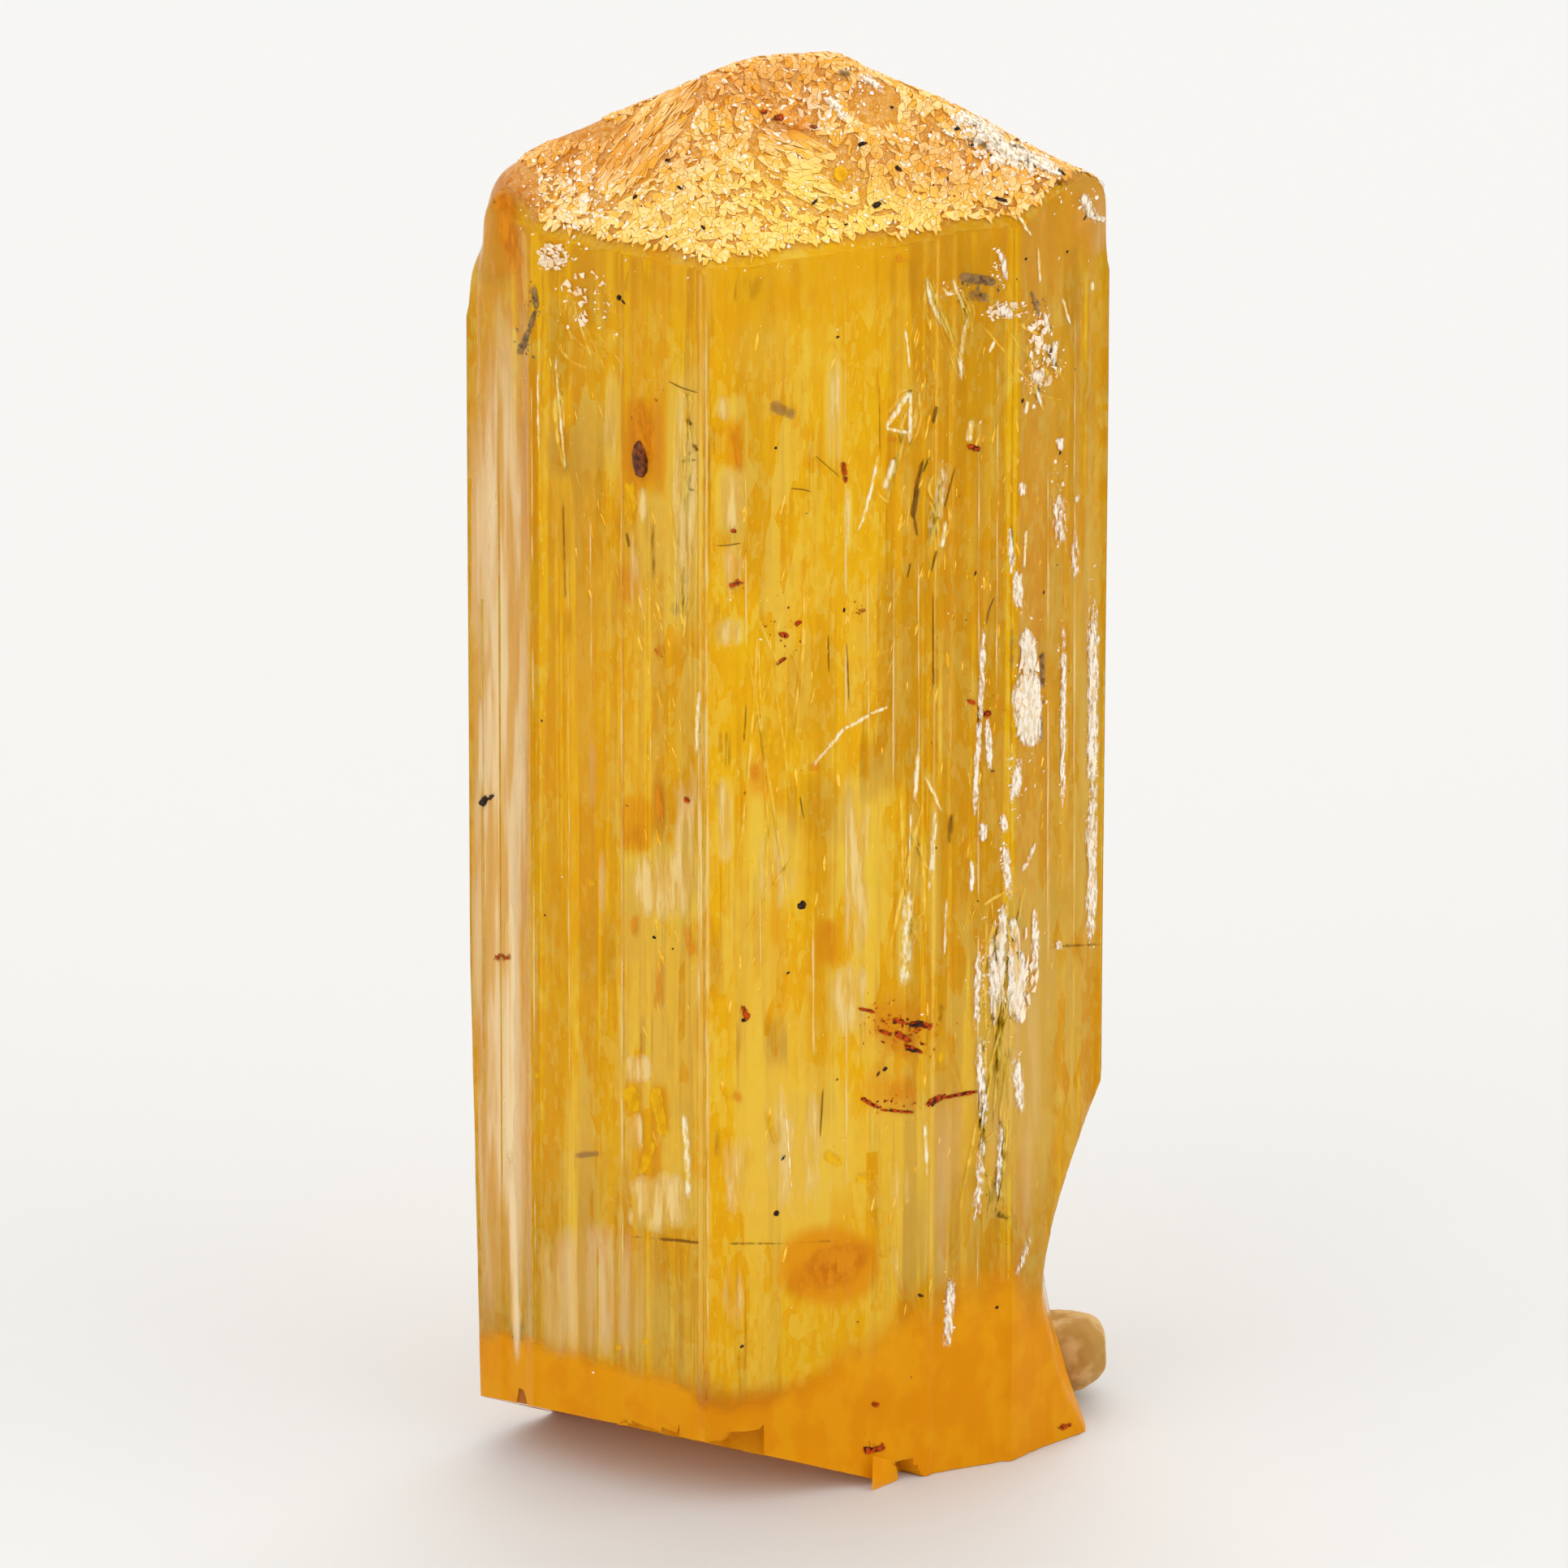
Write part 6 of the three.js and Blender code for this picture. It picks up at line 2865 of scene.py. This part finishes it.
@dataclass
class Droplets(Grains):
    """Smooth brown droplets: one swelling out of a face, and drops on the roof."""

    name: str = "droplets"
    slot: str = "inclusion"
    finish: StoneFinish = StoneFinish(
        "droplet", linear(74, 30, 6), linear(136, 64, 10), 0.16, film=False, gloss=0.25
    )
    rough: float = 0.06
    grains: tuple[Grain, ...] = specks(
        bubble=(789, 566, 1.1, 0.42, 80),
        roof_1=(940, 140, 0.2, 0.7, 0),
        roof_2=(958, 147, 0.3, 0.6, 10),
        roof_3=(1001, 158, 0.24, 0.5, 0),
    )


ROOF_FIELDS = (
    PlateField("roof", (985, 230), (9.6, 6.6), (0.112, 0.1), round_off=False, lost=0.08, lift=0.018),
    PlateField("ridges", (800, 165), (1.7, 0.8), (0.22, 0.075), turn=38.0, lost=0.06, lift=0.018),
    PlateField("layers", (995, 210), (1.5, 0.75), (0.2, 0.07), turn=2.0, lost=0.06, lift=0.018),
)

CRUMBLED_FIELDS = (
    PlateField("roof_clay", (1236, 182), (1.0, 0.5), (0.1, 0.09), turn=-32.0, lost=0.35),
    PlateField("shoulder_patch", (682, 316), (0.5, 0.42), (0.09, 0.08), on_roof=False, lost=0.3),
    PlateField("shoulder_chips", (722, 368), (0.7, 0.9), (0.09, 0.12), turn=20.0, on_roof=False, lost=0.8),
    PlateField("breccia_top", (1240, 382), (0.6, 0.3), (0.1, 0.08), on_roof=False, lost=0.5),
    PlateField("breccia", (1283, 440), (0.42, 1.1), (0.08, 0.12), turn=8.0, on_roof=False, lost=0.6),
    PlateField("clay_patch", (1266, 850), (0.4, 1.6), (0.08, 0.2), on_roof=False, lost=0.75),
    PlateField("cluster", (1244, 1190), (0.8, 1.7), (0.06, 0.24), on_roof=False, lost=0.85),
    PlateField("edge_streak", (1345, 950), (0.16, 4.6), (0.06, 0.24), on_roof=False, lost=0.7),
)

ROOF_BARE = (
    *patches(
        Tone.PALE,
        knob=(1078, 128, 28, 26, 1, 0.3, 2),
        yellow_patch=(1035, 215, 13, 17, 1, 0.3, 2),
        left_corner=(626, 238, 36, 40, 1, 0.3, 2),
        left_skyline=(700, 160, 60, 13, 1, 0.3, 2),
    ),
)

ROOF_ZONES = (
    *patches(
        Tone.PALE,
        white_patch=(715, 250, 60, 60, 1, 0.6, 2),
        knob=(1015, 140, 60, 40, 1, 0.6, 2),
        clay=(1240, 190, 100, 40, 1, 0.5, 2),
    ),
    # The amber zones of the roof are a painted glow: its plates and skin turn yellow there.
    *patches(
        Tone.AMBER,
        glow=(1005, 262, 120, 66, 1, 0.6, 2),
        glow_left=(840, 290, 120, 50, 0.6, 0.6, 2),
        glow_right=(1120, 260, 90, 40, 0.6, 0.6, 2),
    ),
    *patches(
        Tone.ORANGE,
        skyline=(900, 95, 150, 40, 0.7, 0.6, 2),
        left_skyline=(700, 180, 130, 40, 0.7, 0.6, 2),
        left_corner=(615, 240, 44, 60, 1, 0.5, 2),
        spot=(970, 145, 40, 30, 0.8, 0.6, 2),
        right_slope=(1150, 205, 120, 40, 0.4, 0.7, 2),
    ),
)

BODY_ZONES = (
    *patches(
        Tone.PALE,
        # Windows and panes: pale growth zones whose paleness also paints the light that comes through from
        # the back faces.
        window_left=(818, 1090, 50, 50),
        window_low=(822, 1480, 43, 34),
        column=(843, 615, 22, 165, 0.8),
        column_left=(755, 525, 10, 65),
        pane_1=(899, 502, 19, 14),
        pane_2=(900, 617, 20, 43),
        pane_3=(899, 780, 19, 16),
        pane_4=(893, 1010, 12, 52),
        pane_5=(1055, 1035, 20, 76),
        pane_6=(1055, 1230, 20, 42),
        glow_low=(985, 1415, 70, 90, 0.8, 0.5),
        glow_middle=(950, 1060, 42, 60, 0.8, 0.5),
        strip_1=(1028, 505, 12, 66, 0.8),
        strip_2=(1045, 640, 6, 42, 0.8),
        foot_left=(760, 1620, 110, 60, 0.5, 0.5),
        haze_right=(1245, 1330, 60, 170, 0.6, 0.5),
        haze_low=(1160, 1420, 50, 130, 0.5, 0.5),
        edge=(1344, 950, 14, 230, 0.7, 0.5),
        strip_3=(800, 660, 16, 60, 0.7),
        strip_4=(1126, 1050, 8, 62, 0.8),
        strip_5=(1152, 1095, 8, 105, 0.7),
        lens=(1116, 1175, 10, 40),
        top=(960, 430, 80, 60, 0.4, 0.7, 2),
    ),
    *patches(
        Tone.AMBER,
        band_left=(652, 565, 12, 126),
        bubble=(792, 545, 27, 56),
        block_1=(785, 1015, 20, 36),
        block_2=(812, 998, 8, 34),
        block_3=(780, 1355, 10, 16),
        block_4=(812, 1370, 12, 31),
        block_5=(802, 1430, 12, 21),
        block_6=(1022, 1162, 18, 28),
        band_wide=(710, 900, 40, 400, 0.5, 0.5),
    ),
    *patches(
        Tone.ORANGE,
        lens=(1022, 1560, 62, 46, 1, 0.4, 2.5),
        foot_left=(674, 1716, 100, 34, 1, 0.1),
        foot_right=(1230, 1760, 150, 100, 0.8, 0.5),
        foot_middle=(940, 1780, 260, 70, 0.8, 0.4),
        corner=(622, 285, 20, 58, 1, 0.4),
        spot_1=(905, 550, 12, 34, 0.7, 0.5),
        bubble=(792, 545, 26, 56, 0.6),
        spot_2=(770, 718, 12, 28, 0.6),
        block_1=(785, 1018, 20, 36, 0.45),
        block_2=(1022, 1162, 18, 30, 0.45),
        spot_3=(935, 955, 14, 30, 0.6, 0.5),
        iron=(1110, 1262, 46, 40, 0.55, 0.5, 2.5),
        crack=(1095, 1345, 40, 26, 0.6, 0.5, 2.5),
    ),
    *patches(
        Tone.PATCHY,
        left_low=(815, 1250, 56, 290, 0.62, 0.4),
        middle_low=(938, 1240, 62, 330, 0.62, 0.5, 2.5),
        right_middle=(1060, 1130, 46, 200, 0.55, 0.5, 2.5),
        glow_low=(1000, 1440, 120, 120, 0.6, 0.5, 2.5),
        foot_left=(735, 1450, 70, 200, 0.5, 0.6, 2.5),
        column=(845, 640, 30, 220, 0.6, 0.5),
        middle=(940, 640, 60, 200, 0.45, 0.6, 2.5),
        right_low=(1240, 1300, 90, 240, 0.62, 0.5, 2.5),
        low=(1130, 1440, 80, 150, 0.6, 0.5, 2.5),
        left_top=(700, 560, 50, 180, 0.45, 0.6, 2.5),
        edge=(1340, 900, 20, 300, 0.5, 0.6),
    ),
    *patches(
        Tone.PATCHY,
        Side.BACK,
        back=(973, 900, 360, 620, 0.5, 0.5),
    ),
)


@dataclass
class MatrixCrumb:
    """Rough lump of pale matrix at the lower right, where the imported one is."""

    subdivisions: int = 5
    square: float = 3.2
    reach_in: float = 0.25
    finish: StoneFinish = StoneFinish(
        "matrix", linear(178, 134, 68), linear(206, 168, 110), 0.8, size=1.1, film=False
    )

    def build(self) -> bpy.types.Object:
        """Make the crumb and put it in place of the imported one.

        Returns:
            The crumb.
        """
        low, high = (np.array(corner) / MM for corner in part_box("matrix_crumb"))
        lump = bmesh.new()
        bmesh.ops.create_icosphere(lump, subdivisions=self.subdivisions, radius=1.0)
        way = np.array([vertex.co.normalized()[:] for vertex in lump.verts])
        shape = way / ((np.abs(way) ** self.square).sum(1, keepdims=True) ** (1 / self.square))
        lumps = value_noise(way[:, 0] * 2.3 + way[:, 2], way[:, 1] * 2.3 - way[:, 2], 41)
        pits = value_noise(way[:, 0] * 9 + way[:, 2] * 5, way[:, 1] * 9 - way[:, 2] * 6, 42)
        shape *= (1 - 0.14 * lumps - 0.035 * pits)[:, None]
        low[0] -= self.reach_in
        for vertex, place in zip(lump.verts, (low + high) / 2 + shape * (high - low) / 2):
            vertex.co = place
        crumb = finished(lump, "matrix_lump", self.finish.material())
        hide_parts("matrix_crumb")
        return crumb


def main() -> None:
    """Build the specimen, its studio and its camera, in order."""
    logging.basicConfig(level=logging.INFO, format="%(message)s")
    Viewpoint().build()
    Studio().build()
    finish = TopazFinish()
    survey = Survey(frame["nodes"]["topaz_crystal"])
    draw = random.Random(3)
    blocks = growth_blocks(Side.FRONT, 46, 0.5, draw)
    for side, count in ((Side.RIGHT, 20), (Side.BACK, 46), (Side.LEFT, 20)):
        blocks += growth_blocks(side, count, 0.5, draw)
    body = CrystalBody(survey, zones=BODY_ZONES + blocks).build(finish)
    skins = skins_of(body)
    RoofSkin(ROOF_ZONES).build(skins[Side.FRONT])
    plates = EtchedPlates("etched_plates", "topaz", PlateFinish(), ROOF_FIELDS, ROOF_BARE, ROOF_ZONES)
    plates.build(skins[Side.FRONT])
    clay = PlateFinish(
        "clay_plate",
        gold=linear(238, 206, 158),
        peach=linear(255, 238, 212),
        white=linear(255, 250, 242),
        orange=linear(226, 180, 116),
    )
    EtchedPlates("clay_plates", "clay", clay, CRUMBLED_FIELDS, lift=0.05).build(skins[Side.FRONT])
    FootBand().build(body)
    for deposit in (
        PeachRind, MilkyVeilAndSheen, PaleWindowsAndLight, RustHalos, YellowPatches, GrowthLines,
        Plumes, Feathers, Needles, GreySmudges, IronStains, ClayFilms,
    ):
        deposit().build(skins)
    for grains in (
        DarkGrains, Dust, PaintedGlints, Droplets, RoofPaintedGlints, ClayFlakes, GreyFlakes, RustFlakes, GoldFlakesAndGlints,
    ):
        grains().build(skins)
    MatrixCrumb().build()


if __name__ == "__main__":
    main()
